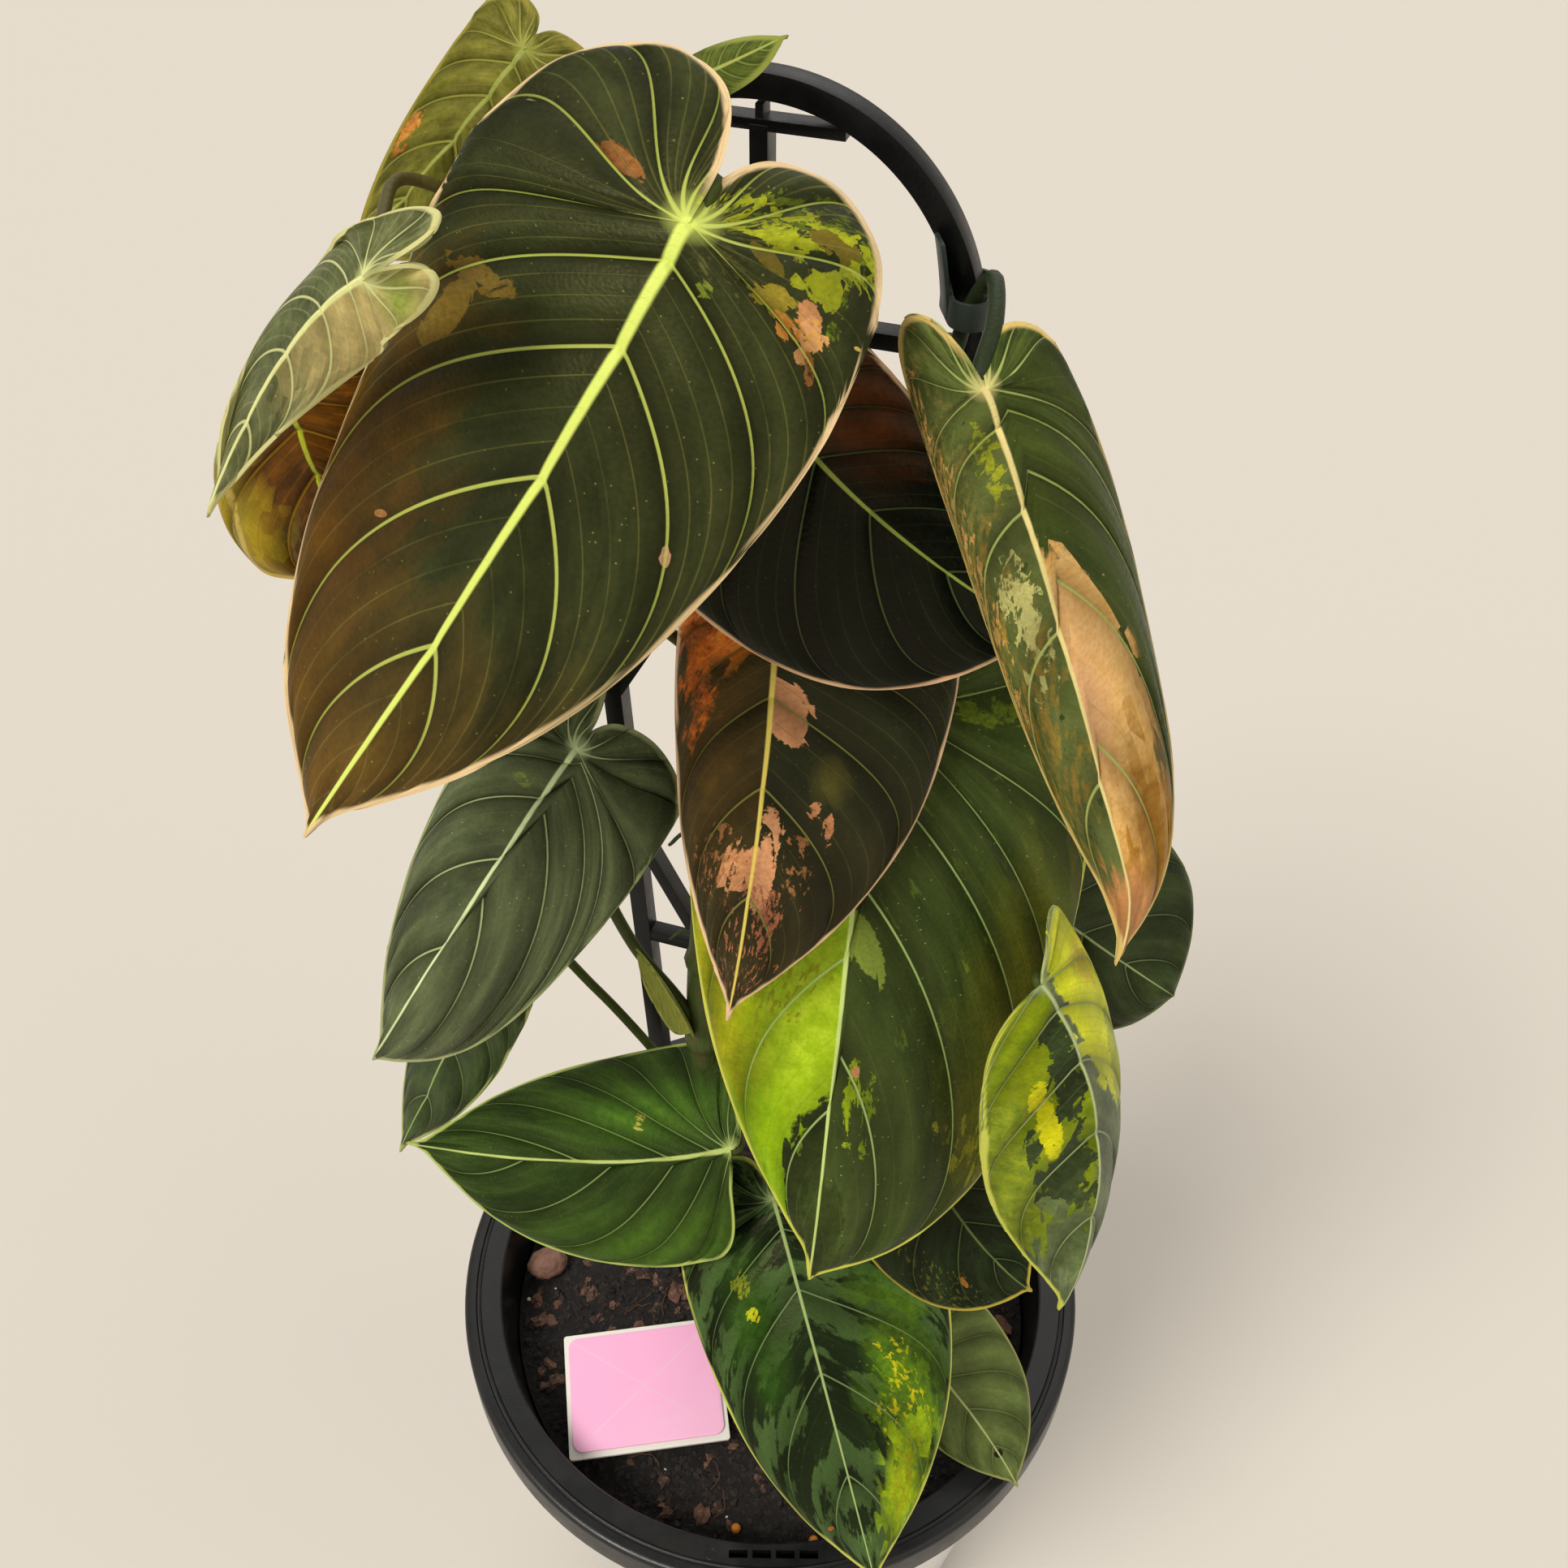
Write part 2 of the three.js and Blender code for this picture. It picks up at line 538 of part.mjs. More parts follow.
function straightBar(from, to, width) {
  const [start, end] = [new THREE.Vector2(...from), new THREE.Vector2(...to)];
  const along = end.clone().sub(start).setLength(width / 2);
  const corner = (point, way) => [point.x - way * along.y, point.y + way * along.x];
  return outlined([corner(start, 1), corner(start, -1), corner(end, -1), corner(end, 1)]);
}

// side: -1 and 1 for the outer legs, 0 for the middle bar. All three end in a point in the mix.
function leg(side, width) {
  const top = side === 0 ? CREST.height : ARCH_SPRING;
  const corner = (height, way) => [side * legMiddle(height) + (way * width) / 2, height];
  return outlined([
    corner(LEG_FOOT, 0), corner(LEG_FOOT + LEG_POINT, 1), corner(top, 1), corner(top, -1),
    corner(LEG_FOOT + LEG_POINT, -1),
  ]);
}

const legWidth = (side) => (side === 0 ? BAR_WIDTH : FRAME_WIDTH);

function trellisSolid() {
  const arch = new THREE.Shape();
  const inner = [ARCH_HALF - FRAME_WIDTH, ARCH_RISE - FRAME_WIDTH];
  arch.absellipse(0, ARCH_SPRING, ARCH_HALF, ARCH_RISE, 0, Math.PI, false);
  arch.absellipse(0, ARCH_SPRING, ...inner, Math.PI, 0, true);
  const parts = [flatBar(arch), ...[-1, 0, 1].map((side) => leg(side, legWidth(side)))];
  for (const height of CROSS_BARS) {
    const reach = legMiddle(height);
    parts.push(straightBar([-reach, height], [reach, height], BAR_WIDTH));
  }
  for (const { leg: start, middle } of DIAGONALS) {
    for (const side of [-1, 1]) {
      parts.push(straightBar([side * legMiddle(start), start], [0, middle], BAR_WIDTH));
    }
  }
  const { height, half, width, knob } = CREST;
  parts.push(straightBar([-half, height], [half, height], width));
  parts.push(outlined([[-2.2, height], [2.2, height], [0, height + knob]]));
  return join(parts);
}

function legHole(side) {
  const hole = toGeometry(leg(side, legWidth(side) + 2 * GAP));
  hole.scale(1, 1 + (2 * GAP) / TRELLIS_DEPTH, 1).translate(0, 0, -LEG_POINT / 8);
  return toSolid(hole.rotateZ(degToRad(TRELLIS_TURN)).translate(TRELLIS_X, 0, 0));
}

// Pots

const nurseryRadius = (height) =>
  mapLinear(height, NURSERY_FOOT, RIM_TOP, NURSERY_FOOT_RADIUS, RIM_BORE + POT_WALL);

function nurseryPot() {
  const skirt = RIM_TOP - SKIRT_DROP;
  const under = RIM_TOP - RIM_THICK;
  const floor = NURSERY_FOOT + NURSERY_FLOOR;
  const shell = lathe([
    [0, NURSERY_FOOT], [NURSERY_FOOT_RADIUS, NURSERY_FOOT], [nurseryRadius(under), under],
    [RIM_RADIUS - SKIRT_WALL, under], [RIM_RADIUS - SKIRT_WALL, skirt], [RIM_RADIUS, skirt],
    [RIM_RADIUS, RIM_TOP - RIM_ROUND], [RIM_RADIUS - RIM_ROUND, RIM_TOP],
    [GROOVE_RADIUS + 1, RIM_TOP], [GROOVE_RADIUS, RIM_TOP - GROOVE_DEPTH],
    [GROOVE_RADIUS - 1, RIM_TOP],
    [RIM_BORE, RIM_TOP], [nurseryRadius(floor) - POT_WALL, floor], [0, floor],
  ], POT_SIDES);
  const cuts = [];
  for (let i = 0; i < DRAIN.count; i += 1) {
    const turn = (i / DRAIN.count) * Math.PI * 2;
    const drain = new THREE.CylinderGeometry(DRAIN.radius, DRAIN.radius, 8, DRAIN.sides);
    drain.rotateX(Math.PI / 2);
    drain.translate(DRAIN.circle * Math.cos(turn), DRAIN.circle * Math.sin(turn), NURSERY_FOOT);
    cuts.push(toSolid(drain));
  }
  for (let i = 0; i < SLOTS.count; i += 1) {
    const [x, y] = SLOTS.middle;
    const aside = (i - (SLOTS.count - 1) / 2) * SLOTS.pitch;
    const slot = new THREE.BoxGeometry(...SLOTS.size, 4 * RIM_THICK);
    cuts.push(toSolid(slot.translate(x + aside, y, RIM_TOP)));
  }
  return cuts.reduce((pot, cut) => pot.subtract(cut), shell);
}

// The cover pot's top edge is just under the nursery pot's rim, which hangs on it
function coverPot() {
  const top = RIM_TOP - RIM_THICK - GAP;
  const outer = (height) => mapLinear(height, 0, top, COVER_FOOT_RADIUS, COVER_TOP_RADIUS);
  return lathe([
    [0, 0], [COVER_FOOT_RADIUS - COVER_EDGE, 0], [outer(COVER_EDGE), COVER_EDGE],
    [COVER_TOP_RADIUS, top], [COVER_TOP_RADIUS - COVER_WALL, top],
    [outer(COVER_FLOOR) - COVER_WALL, COVER_FLOOR], [0, COVER_FLOOR],
  ], POT_SIDES);
}

// Potting mix and stone

function stoneSolid(extra) {
  const size = STONE.size.map((half) => half + extra);
  const stone = new THREE.IcosahedronGeometry(1, 1).scale(...size);
  return toSolid(stone.rotateZ(STONE.turn).translate(...STONE.place));
}

function pottingMix(holes) {
  const random = seeded(SEED);
  const floor = NURSERY_FOOT + NURSERY_FLOOR + GAP;
  const edgeAt = (height) => nurseryRadius(height) - POT_WALL - 2 * GAP;
  const ring = (radius, height, rough) =>
    even(POT_SIDES).slice(1).map((share) => {
      const turn = share * Math.PI * 2;
      const rise = rough * (2 * random() - 1);
      return new THREE.Vector3(radius * Math.cos(turn), radius * Math.sin(turn), height + rise);
    });
  const rings = [ring(edgeAt(floor), floor, 0)];
  for (let i = MIX_RINGS; i > 0; i -= 1) {
    const height = i === MIX_RINGS ? MIX_TOP - MIX_EDGE : MIX_TOP;
    rings.push(ring((edgeAt(MIX_TOP - MIX_EDGE) * i) / MIX_RINGS, height, MIX_ROUGH));
  }
  const lumps = [];
  for (let i = 0; i < BARK.count; i += 1) {
    const turn = random() * Math.PI * 2;
    const radius = lerp(BARK.inner, BARK.outer, Math.sqrt(random()));
    const size = lerp(BARK.small, BARK.large, random());
    const chip = new THREE.IcosahedronGeometry(1, 0).scale(size, size * 0.6, size * 0.55);
    chip.rotateZ(random() * Math.PI);
    lumps.push(toSolid(chip.translate(radius * Math.cos(turn), radius * Math.sin(turn), MIX_TOP)));
  }
  return holes.reduce((mix, hole) => mix.subtract(hole), join([closedRings(rings), ...lumps]));
}

// Tie and tag

// The hull of two circles, as a belt round two bars
function belt(first, second, extra) {
  const apart = second.middle.clone().sub(first.middle);
  const spread = Math.acos((first.radius - second.radius) / apart.length());
  const [from, to] = [apart.angle() - spread, apart.angle() + spread];
  const path = new THREE.Path();
  path.absarc(second.middle.x, second.middle.y, second.radius + extra, from, to, false);
  path.absarc(first.middle.x, first.middle.y, first.radius + extra, to, from + 2 * Math.PI, false);
  return path.getPoints(7).slice(0, -1);
}

// A flat strap round the arch's side and the petiole beside it, with a free end that stands up
function tieSolid() {
  const { height, tall, strap, stalk, stalkRadius, archRadius } = TIE;
  const climb = (height - ARCH_SPRING) / (ARCH_RISE - FRAME_WIDTH / 2);
  const reach = (ARCH_HALF - FRAME_WIDTH / 2) * Math.sqrt(1 - climb ** 2);
  const arch = new THREE.Vector2(reach, 0).rotateAround(new THREE.Vector2(), degToRad(TRELLIS_TURN));
  arch.x += TRELLIS_X;
  const bars = [
    { middle: arch, radius: archRadius },
    { middle: new THREE.Vector2(...stalk), radius: stalkRadius },
  ];
  const shape = new THREE.Shape(belt(...bars, strap));
  shape.holes.push(new THREE.Path(belt(...bars, 0)));
  const loop = new THREE.ExtrudeGeometry(shape, { depth: tall, bevelEnabled: false });
  loop.translate(0, 0, height - tall / 2);
  const apart = bars[1].middle.clone().sub(arch);
  const facing = apart.angle() - Math.acos((archRadius - stalkRadius) / apart.length());
  const out = (archRadius + stalkRadius + strap) / 2;
  const seat = arch.clone().addScaledVector(apart, 0.5);
  seat.add(new THREE.Vector2(out, 0).rotateAround(new THREE.Vector2(), facing));
  const tail = new THREE.BoxGeometry(strap, tall, TIE_TAIL.long).translate(0, 0, TIE_TAIL.long / 2);
  tail.rotateY(degToRad(TIE_TAIL.lean)).rotateZ(facing);
  tail.translate(seat.x, seat.y, height - tall / 2);
  return toSolid(loop).add(toSolid(tail));
}

function roundedPlate([width, depth, thick], radius) {
  const shape = new THREE.Shape();
  const [x, y] = [width / 2 - radius, depth / 2 - radius];
  [[x, y], [-x, y], [-x, -y], [x, -y]].forEach((middle, i) => {
    shape.absarc(...middle, radius, (i * Math.PI) / 2, ((i + 1) * Math.PI) / 2, false);
  });
  return new THREE.ExtrudeGeometry(shape, { depth: thick, bevelEnabled: false, curveSegments: 4 });
}

// The whole object

const plant = new THREE.Group();

function addPiece(parent, name, solid, material) {
  const mesh = new THREE.Mesh(toGeometry(solid), material);
  mesh.name = name;
  parent.add(mesh);
  return mesh;
}

const stemClear = stemSolid(GAP);
const holes = [stemClear, stoneSolid(GAP)];
holes.push(...[-1, 0, 1].map(legHole), ...ROOTS.map((root) => rootSolid(root, GAP)));

addPiece(plant, "cover_pot", coverPot(), GREY_POT);
addPiece(plant, "nursery_pot", nurseryPot(), BLACK_PLASTIC);
addPiece(plant, "potting_mix", pottingMix(holes), DARK_MIX);
addPiece(plant, "soil_stone", stoneSolid(0), RED_STONE);

const trellis = addPiece(plant, "trellis", trellisSolid(), BLACK_PLASTIC);
trellis.position.x = TRELLIS_X;
trellis.rotation.z = degToRad(TRELLIS_TURN);

const rootSolids = ROOTS.map((root) => rootSolid(root, 0));
addPiece(plant, "main_stem", join([stemSolid(0), ...rootSolids]), STEM_GREEN);
for (const [name, leaf] of Object.entries(LEAVES)) {
  addPiece(plant, name, leafSolid(leaf, stemClear), finish(leaf.colour, LEAF_ROUGHNESS));
}
addPiece(plant, "plant_tie", tieSolid(), TIE_GREEN);

const tag = new THREE.Group();
tag.position.set(...TAG.place);
tag.rotation.set(degToRad(TAG.tilt), 0, degToRad(TAG.turn), "ZYX");
plant.add(tag);
addPiece(tag, "plant_tag", toSolid(new THREE.BoxGeometry(...TAG.size)), TAG_WHITE);
const label = roundedPlate(LABEL.size, LABEL.corner);
addPiece(tag, "tag_label", toSolid(label.translate(0, 0, TAG.size[2] / 2 + GAP)), LABEL_PINK);

export default plant;
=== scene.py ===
"""Dresses a potted climbing philodendron: variegated velvety leaves, a plastic trellis and two pots.

Lengths are millimetres in the tables and metres in the meshes. Front is -Y and up is +Z.
"""

import logging
import math
import random
from contextlib import contextmanager
from dataclasses import dataclass, field
from enum import Enum
from typing import Callable, Iterator, Sequence

import bpy
import numpy as np
from mathutils import Euler, Matrix, Vector, noise


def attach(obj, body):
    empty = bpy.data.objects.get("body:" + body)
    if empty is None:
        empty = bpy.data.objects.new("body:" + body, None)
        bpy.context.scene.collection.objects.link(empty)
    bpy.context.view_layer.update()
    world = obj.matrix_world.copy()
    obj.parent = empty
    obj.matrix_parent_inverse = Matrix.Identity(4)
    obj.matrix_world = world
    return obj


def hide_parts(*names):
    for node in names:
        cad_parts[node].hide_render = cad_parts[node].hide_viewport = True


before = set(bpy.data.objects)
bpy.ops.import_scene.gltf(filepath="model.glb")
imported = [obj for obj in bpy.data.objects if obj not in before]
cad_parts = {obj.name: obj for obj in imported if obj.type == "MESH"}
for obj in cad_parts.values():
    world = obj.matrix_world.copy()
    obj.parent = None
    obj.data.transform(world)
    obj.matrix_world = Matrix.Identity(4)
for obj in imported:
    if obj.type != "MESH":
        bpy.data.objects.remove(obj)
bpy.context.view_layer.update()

MM = 0.001
SEED = 11
LOG = logging.getLogger("philodendron")

Piece = bpy.types.Object
Paint = bpy.types.Material
Socket = bpy.types.NodeSocket
Pair = tuple[float, float]
Point = tuple[float, float, float]


class Half(Enum):
    """The half of a blade, seen from its front with the tip down."""

    LEFT = -1
    BOTH = 0
    RIGHT = 1


LEFT, RIGHT = Half.LEFT, Half.RIGHT


def linear(colour: str) -> tuple[float, float, float, float]:
    """Turns an sRGB colour to linear light.

    Args:
        colour: Six hex digits after a hash sign.

    Returns:
        Linear red, green and blue, and an alpha of 1.
    """
    shares = [int(colour[i : i + 2], 16) / 255 for i in (1, 3, 5)]
    curve = [s / 12.92 if s <= 0.04045 else ((s + 0.055) / 1.055) ** 2.4 for s in shares]
    return (*curve, 1.0)


def ramp(value: np.ndarray, low: float, high: float) -> np.ndarray:
    """A smooth step that is 0 up to low and 1 from high on."""
    share = np.clip((value - low) / (high - low), 0, 1)
    return share * share * (3 - 2 * share)


# Materials


class Surface:
    """A material and its node tree."""

    def __init__(self, name: str) -> None:
        """Starts an empty material.

        Args:
            name: The real material's name.
        """
        self.material = bpy.data.materials.new(name)
        self.material.use_nodes = True
        self.tree = self.material.node_tree
        self.tree.nodes.clear()

    def add(self, kind: str, links: Sequence | dict = (), **settings: object) -> Socket:
        """Adds a node with its settings and links.

        Args:
            kind: The node's type, such as TexNoise. Mix mixes colours.
            links: A value, a hex colour or a socket for each input, in order or by name. None
                leaves an input as it is.
            settings: The node's own properties.

        Returns:
            The node's first output in use.
        """
        node = self.tree.nodes.new("ShaderNode" + kind)
        if kind == "Mix":
            node.data_type = "RGBA"
        for key, value in settings.items():
            setattr(node, key, value)
        sockets = [socket for socket in node.inputs if socket.enabled]
        if isinstance(links, dict):
            sockets = [node.inputs[key] for key in links]
            links = links.values()
        for socket, value in zip(sockets, links):
            if isinstance(value, Socket):
                self.tree.links.new(value, socket)
            elif value is not None:
                socket.default_value = linear(value) if isinstance(value, str) else value
        return next((socket for socket in node.outputs if socket.enabled), None)

    def finish(self, links: dict, relief: Socket | None = None, deep: float = 0.1) -> None:
        """Adds the shader and the output.

        Args:
            links: The shader's inputs, by name.
            relief: A height from 0 to 1, or None for a smooth surface.
            deep: The relief's height in millimetres.
        """
        if relief is not None:
            bump = {"Height": relief, "Distance": deep * MM, "Strength": 1.0}
            links = {**links, "Normal": self.add("Bump", bump)}
        shader = self.add("BsdfPrincipled", links)
        self.add("OutputMaterial", {"Surface": shader})


@dataclass(frozen=True)
class Moulded:
    """Moulded plastic: a satin skin with a fine orange-peel and scuffs that are lighter and duller.

    grain, scuff_size: sizes of the peel and the scuffs in millimetres.
    """

    name: str
    colour: str
    scuff: str
    roughness: float = 0.42
    grain: float = 0.6
    scuff_size: float = 14.0
    scuffed: float = 0.35
    shine: float = 0.5

    def make(self) -> Paint:
        """Makes the material.

        Returns:
            The material.
        """
        skin = Surface(self.name)
        add = skin.add
        place = add("TexCoord").node.outputs["Object"]
        worn = add("TexNoise", {
            "Vector": place, "Scale": 1 / (self.scuff_size * MM), "Detail": 6.0, "Roughness": 0.65,
        })
        mask = add("MapRange", [worn, 0.48, 0.75, 0.0, self.scuffed])
        base = add("Mix", [mask, self.colour, self.scuff])
        rough = add("MapRange", [worn, 0.3, 0.7, self.roughness - 0.06, self.roughness + 0.14])
        peel = add("TexNoise", {"Vector": place, "Scale": 1 / (self.grain * MM), "Detail": 3.0})
        skin.finish({
            "Base Color": base, "Roughness": rough, "IOR": 1.5, "Specular IOR Level": self.shine,
        }, peel, 0.05)
        return skin.material


@dataclass(frozen=True)
class Glazed:
    """A glossy grey outer pot: pale, with faint marbled streaks under a clear shine.

    streak, ripple: their sizes in millimetres. upright: a factor that draws both out along Z.
    """

    name: str = "gloss_grey_marbled_pot"
    colour: str = "#b4b5b3"
    vein: str = "#8f9294"
    bright: str = "#c6c6c3"
    streak: float = 60.0
    ripple: float = 9.0
    upright: float = 0.45

    def make(self) -> Paint:
        """Makes the material.

        Returns:
            The material.
        """
        glaze = Surface(self.name)
        add = glaze.add
        place = add("TexCoord").node.outputs["Object"]
        drawn = add("Mapping", [place, None, None, (1.0, 1.0, self.upright)])
        cloud = add("TexNoise", {
            "Vector": drawn, "Scale": 1 / (self.streak * MM), "Detail": 8.0, "Roughness": 0.6,
            "Distortion": 1.2,
        })
        line = add("MapRange", [
            add("Math", [cloud, 0.5], operation="SUBTRACT"), 0.0, 0.03, 1.0, 0.0,
        ])
        pale = add("Mix", [cloud, self.colour, self.bright])
        faint = add("Math", [line, 0.12], operation="MULTIPLY")
        base = add("Mix", [faint, pale, self.vein])
        ripple = add("TexNoise", {"Vector": drawn, "Scale": 1 / (self.ripple * MM)})
        glaze.finish({"Base Color": base, "Roughness": 0.16, "IOR": 1.5, "Coat Weight": 0.4}, ripple, 0.05)
        return glaze.material


@dataclass(frozen=True)
class Grains:
    """Damp peat, bark or grit: matt, mottled from grain to grain by the pieces' own tone.

    grain, relief: size and depth of the mottle in millimetres.
    """

    name: str
    colours: tuple[str, str, str]
    grain: float = 1.2
    roughness: float = 0.9
    relief: float = 0.5

    def make(self) -> Paint:
        """Makes the material.

        Returns:
            The material.
        """
        soil = Surface(self.name)
        add = soil.add
        place = add("TexCoord").node.outputs["Object"]
        tone = add("Attribute", attribute_name="tone").node.outputs["Fac"]
        cloud = add("TexNoise", {
            "Vector": place, "Scale": 1 / (self.grain * MM), "Detail": 5.0, "Roughness": 0.7,
        })
        first, second, third = self.colours
        own = add("Mix", [tone, first, second])
        mask = add("MapRange", [cloud, 0.5, 0.72, 0.0, 0.8])
        base = add("Mix", [mask, own, third])
        soil.finish({"Base Color": base, "Roughness": self.roughness}, cloud, self.relief)
        return soil.material


@dataclass(frozen=True)
class Bark:
    """A green stem or petiole: waxy, with lengthwise streaks and corky brown scars.

    corky: how much is scarred. streak, scar: their sizes in millimetres. upright: a factor that
    draws the streaks out along Z.
    """

    name: str
    green: str
    dark: str
    cork: str
    corky: float = 0.3
    roughness: float = 0.45
    streak: float = 0.9
    scar: float = 4.0
    upright: float = 0.16

    def make(self) -> Paint:
        """Makes the material.

        Returns:
            The material.
        """
        skin = Surface(self.name)
        add = skin.add
        place = add("TexCoord").node.outputs["Object"]
        drawn = add("Mapping", [place, None, None, (1.0, 1.0, self.upright)])
        streak = add("TexNoise", {"Vector": drawn, "Scale": 1 / (self.streak * MM), "Detail": 4.0})
        cloud = add("TexNoise", {
            "Vector": place, "Scale": 1 / (self.scar * MM), "Detail": 6.0, "Roughness": 0.7,
        })
        fresh = add("Mix", [streak, self.green, self.dark])
        edge = 0.72 - 0.3 * self.corky
        mask = add("MapRange", [cloud, edge, edge + 0.08])
        base = add("Mix", [mask, fresh, self.cork])
        skin.finish({
            "Base Color": base, "Roughness": self.roughness, "Specular IOR Level": 0.15,
        }, streak, 0.25)
        return skin.material


# Patterns on a blade, in repeats round the margin and out along a vein: they follow the veins, so
# they are set for the whole blade and not in millimetres
STREAKS = (26.0, 3.0, 0.0)
# Soft patches of painted sheen on a blade
PAINTED_SHEEN = (9.0, 2.2, 0.0)
BACK_STREAKS = (20.0, 3.0, 0.0)
PATCH_STEPS = (46.0, 9.0, 0.0)
PATCH_GRAIN = (60.0, 9.0, 0.0)
EDGE_FROM, EDGE_FULL = 4.0, 9.0  # millimetres from the petiole where the margin's line comes in
FINEST_RAGGED = 1.2  # size in millimetres of the finest breaks in a patch's edge


@dataclass(frozen=True)
class Patch:
    """A patch of two other colours on a blade: an ellipse whose edge steps along the veins.

    x, y: its middle, in millimetres to the right of the midrib and from the petiole to the tip.
    wide, tall: half sizes. rough: how far the edge breaks up, in shares of the size. cover: how
    much of it is filled, the rest being specks of the leaf. turn: degrees. soft: softness of its
    edge. grain: fineness of its breaks.
    """

    x: float
    y: float
    wide: float
    tall: float
    first: str
    second: str
    rough: float
    cover: float = 1.0
    half: Half = Half.BOTH
    turn: float = 0.0
    soft: float = 0.03
    grain: float = 1.0


@dataclass(frozen=True)
class Velvet:
    """The face of a leaf: dark velvet, with thin pale veins, a pale margin and variegation.

    deep, light: the two greens that mingle in streaks along the veins. mottle: how sharply.
    tint, tint_run: the colour that the leaf turns to between two shares of its length.
    midrib, vein, fine: the colours of the midrib, the side veins and the faint ones between.
    width: half widths of the midrib and side veins in millimetres. faint: strength of the fine ones.
    vein_shade: how dark the painted shade beside a side vein is; the middle of each pad between the
    veins gets a painted highlight. painted_sparkle: strength of the tiny pale dots of painted sparkle.
    edge: half width of the margin's line. cell: its fine cells, drawn coarse enough to show.
    speck: from one pale dot to the next.
    """

    name: str
    deep: str
    light: str
    midrib: str
    vein: str
    fine: str
    margin: str
    tint: str | None = None
    tint_run: Pair = (0.4, 1.0)
    width: Pair = (0.6, 0.26)
    faint: float = 0.2
    vein_shade: float = 0.6
    painted_sparkle: float = 0.2
    mottle: float = 0.25
    edge: float = 0.9
    cell: float = 0.9
    speck: float = 2.3
    roughness: float = 0.42
    patches: tuple[Patch, ...] = ()

    def make(self, veins: int) -> Paint:
        """Makes the material.

        Args:
            veins: Side veins on each half.

        Returns:
            The material.
        """
        leaf = Surface(self.name)
        add = leaf.add
        flat = add("Attribute", attribute_name="flat").node.outputs["Vector"]
        vein = add("Attribute", attribute_name="vein").node.outputs["Vector"]
        share, out, gap = add("SeparateXYZ", [vein]).node.outputs
        edge = add("Attribute", attribute_name="edge").node.outputs["Vector"]
        margin, middle, run = add("SeparateXYZ", [edge]).node.outputs
        grown = add("CombineXYZ", [share, out, middle])

        base, cells, streak = self.ground(leaf, flat, grown, run)
        for patch in self.patches:
            base = self.patched(leaf, base, flat, vein, cells, patch)

        counted = add("Math", [share, float(veins)], operation="MULTIPLY")
        # Painted shade beside each side vein and a painted highlight in the middle of each pad between
        # them
        pad = add("Math", [counted, 0.5], operation="PINGPONG")
        painted_shading = add("MapRange", [pad, 0.0, 0.46, self.vein_shade, 1.28])
        # Soft patches of painted sheen, drawn out along the veins, brighten and dim the blade
        drift = add("Mapping", [grown, None, None, PAINTED_SHEEN])
        painted_sheen = add("TexNoise", {"Vector": drift, "Scale": 1.0, "Detail": 3.0})
        painted_sheen = add("MapRange", [painted_sheen, 0.32, 0.68, 0.8, 1.22])
        painted_shading = add("Math", [painted_shading, painted_sheen], operation="MULTIPLY")
        base = add("VectorMath", [base, painted_shading], operation="SCALE")
        fine = self.line(leaf, counted, gap, 4, 0.15)
        shown = add("MapRange", [streak, 0.38, 0.62, 0.25 * self.faint, self.faint])
        faint = add("Math", [fine, shown], operation="MULTIPLY")
        thin = add("MapRange", [out, 0.0, 0.9, self.width[1], self.width[1] * 0.4])
        side = self.line(leaf, counted, gap, 1, thin)
        away = add("MapRange", [out, 0.3, 1.0, 0.95, 0.25])
        side = add("Math", [side, away], operation="MULTIPLY")
        wide = add("MapRange", [run, 0.0, 1.0, self.width[0], self.width[0] * 0.22])
        spine = self.step(leaf, middle, wide)
        begun = add("VectorMath", [flat], operation="LENGTH").node.outputs["Value"]
        glow = add("MapRange", [begun, 0.0, 4 * self.width[0] + 1, 0.7, 0.0])
        rim = self.step(leaf, margin, self.edge)
        clear = add("MapRange", [begun, EDGE_FROM, EDGE_FULL])
        rim = add("Math", [rim, clear], operation="MULTIPLY")
        for mask, colour in (
            (faint, self.fine), (side, self.vein), (spine, self.midrib), (glow, self.midrib),
            (rim, self.margin),
        ):
            base = add("Mix", [mask, base, colour])

        relief = add("Math", [fine, 0.5, cells], operation="MULTIPLY_ADD")
        pile = add("MapRange", [cells, 0.0, 1.0, self.roughness - 0.08, self.roughness + 0.08])
        leaf.finish({
            "Base Color": base, "Roughness": pile, "IOR": 1.42, "Specular IOR Level": 0.2,
            "Specular Tint": "#fff0c0",
        }, relief, 0.07)
        return leaf.material

    def ground(
        self, leaf: Surface, flat: Socket, grown: Socket, run: Socket
    ) -> tuple[Socket, Socket, Socket]:
        """The leaf's own colour, streaked along its veins, with tiny pale dots of painted sparkle, and its
        fine cells.

        Args:
            leaf: The material.
            flat: The place on the flat blade.
            grown: The place along and across the veins.
            run: The share of the blade's length.

        Returns:
            The colour, a fine noise in cells of about a millimetre, and the streaks along the veins.
        """
        add = leaf.add
        drawn = add("Mapping", [grown, None, None, STREAKS])
        streak = add("TexNoise", {"Vector": drawn, "Scale": 1.0, "Detail": 6.0, "Roughness": 0.6})
        soft = 0.26 - 0.24 * self.mottle
        mask = add("MapRange", [streak, 0.5 - soft, 0.5 + soft])
        base = add("Mix", [mask, self.deep, self.light])
        cells = add("TexVoronoi", {"Vector": flat, "Scale": 1 / self.cell}).node.outputs["Distance"]
        if self.tint:
            shifted = add("Math", [streak, 0.5, run], operation="MULTIPLY_ADD")
            low, high = self.tint_run
            turned = add("MapRange", [shifted, low + 0.25, high + 0.25])
            base = add("Mix", [turned, base, self.tint])
        speckled = add("MapRange", [cells, 0.0, 0.9, 0.88, 1.1])
        base = add("VectorMath", [base, speckled], operation="SCALE")
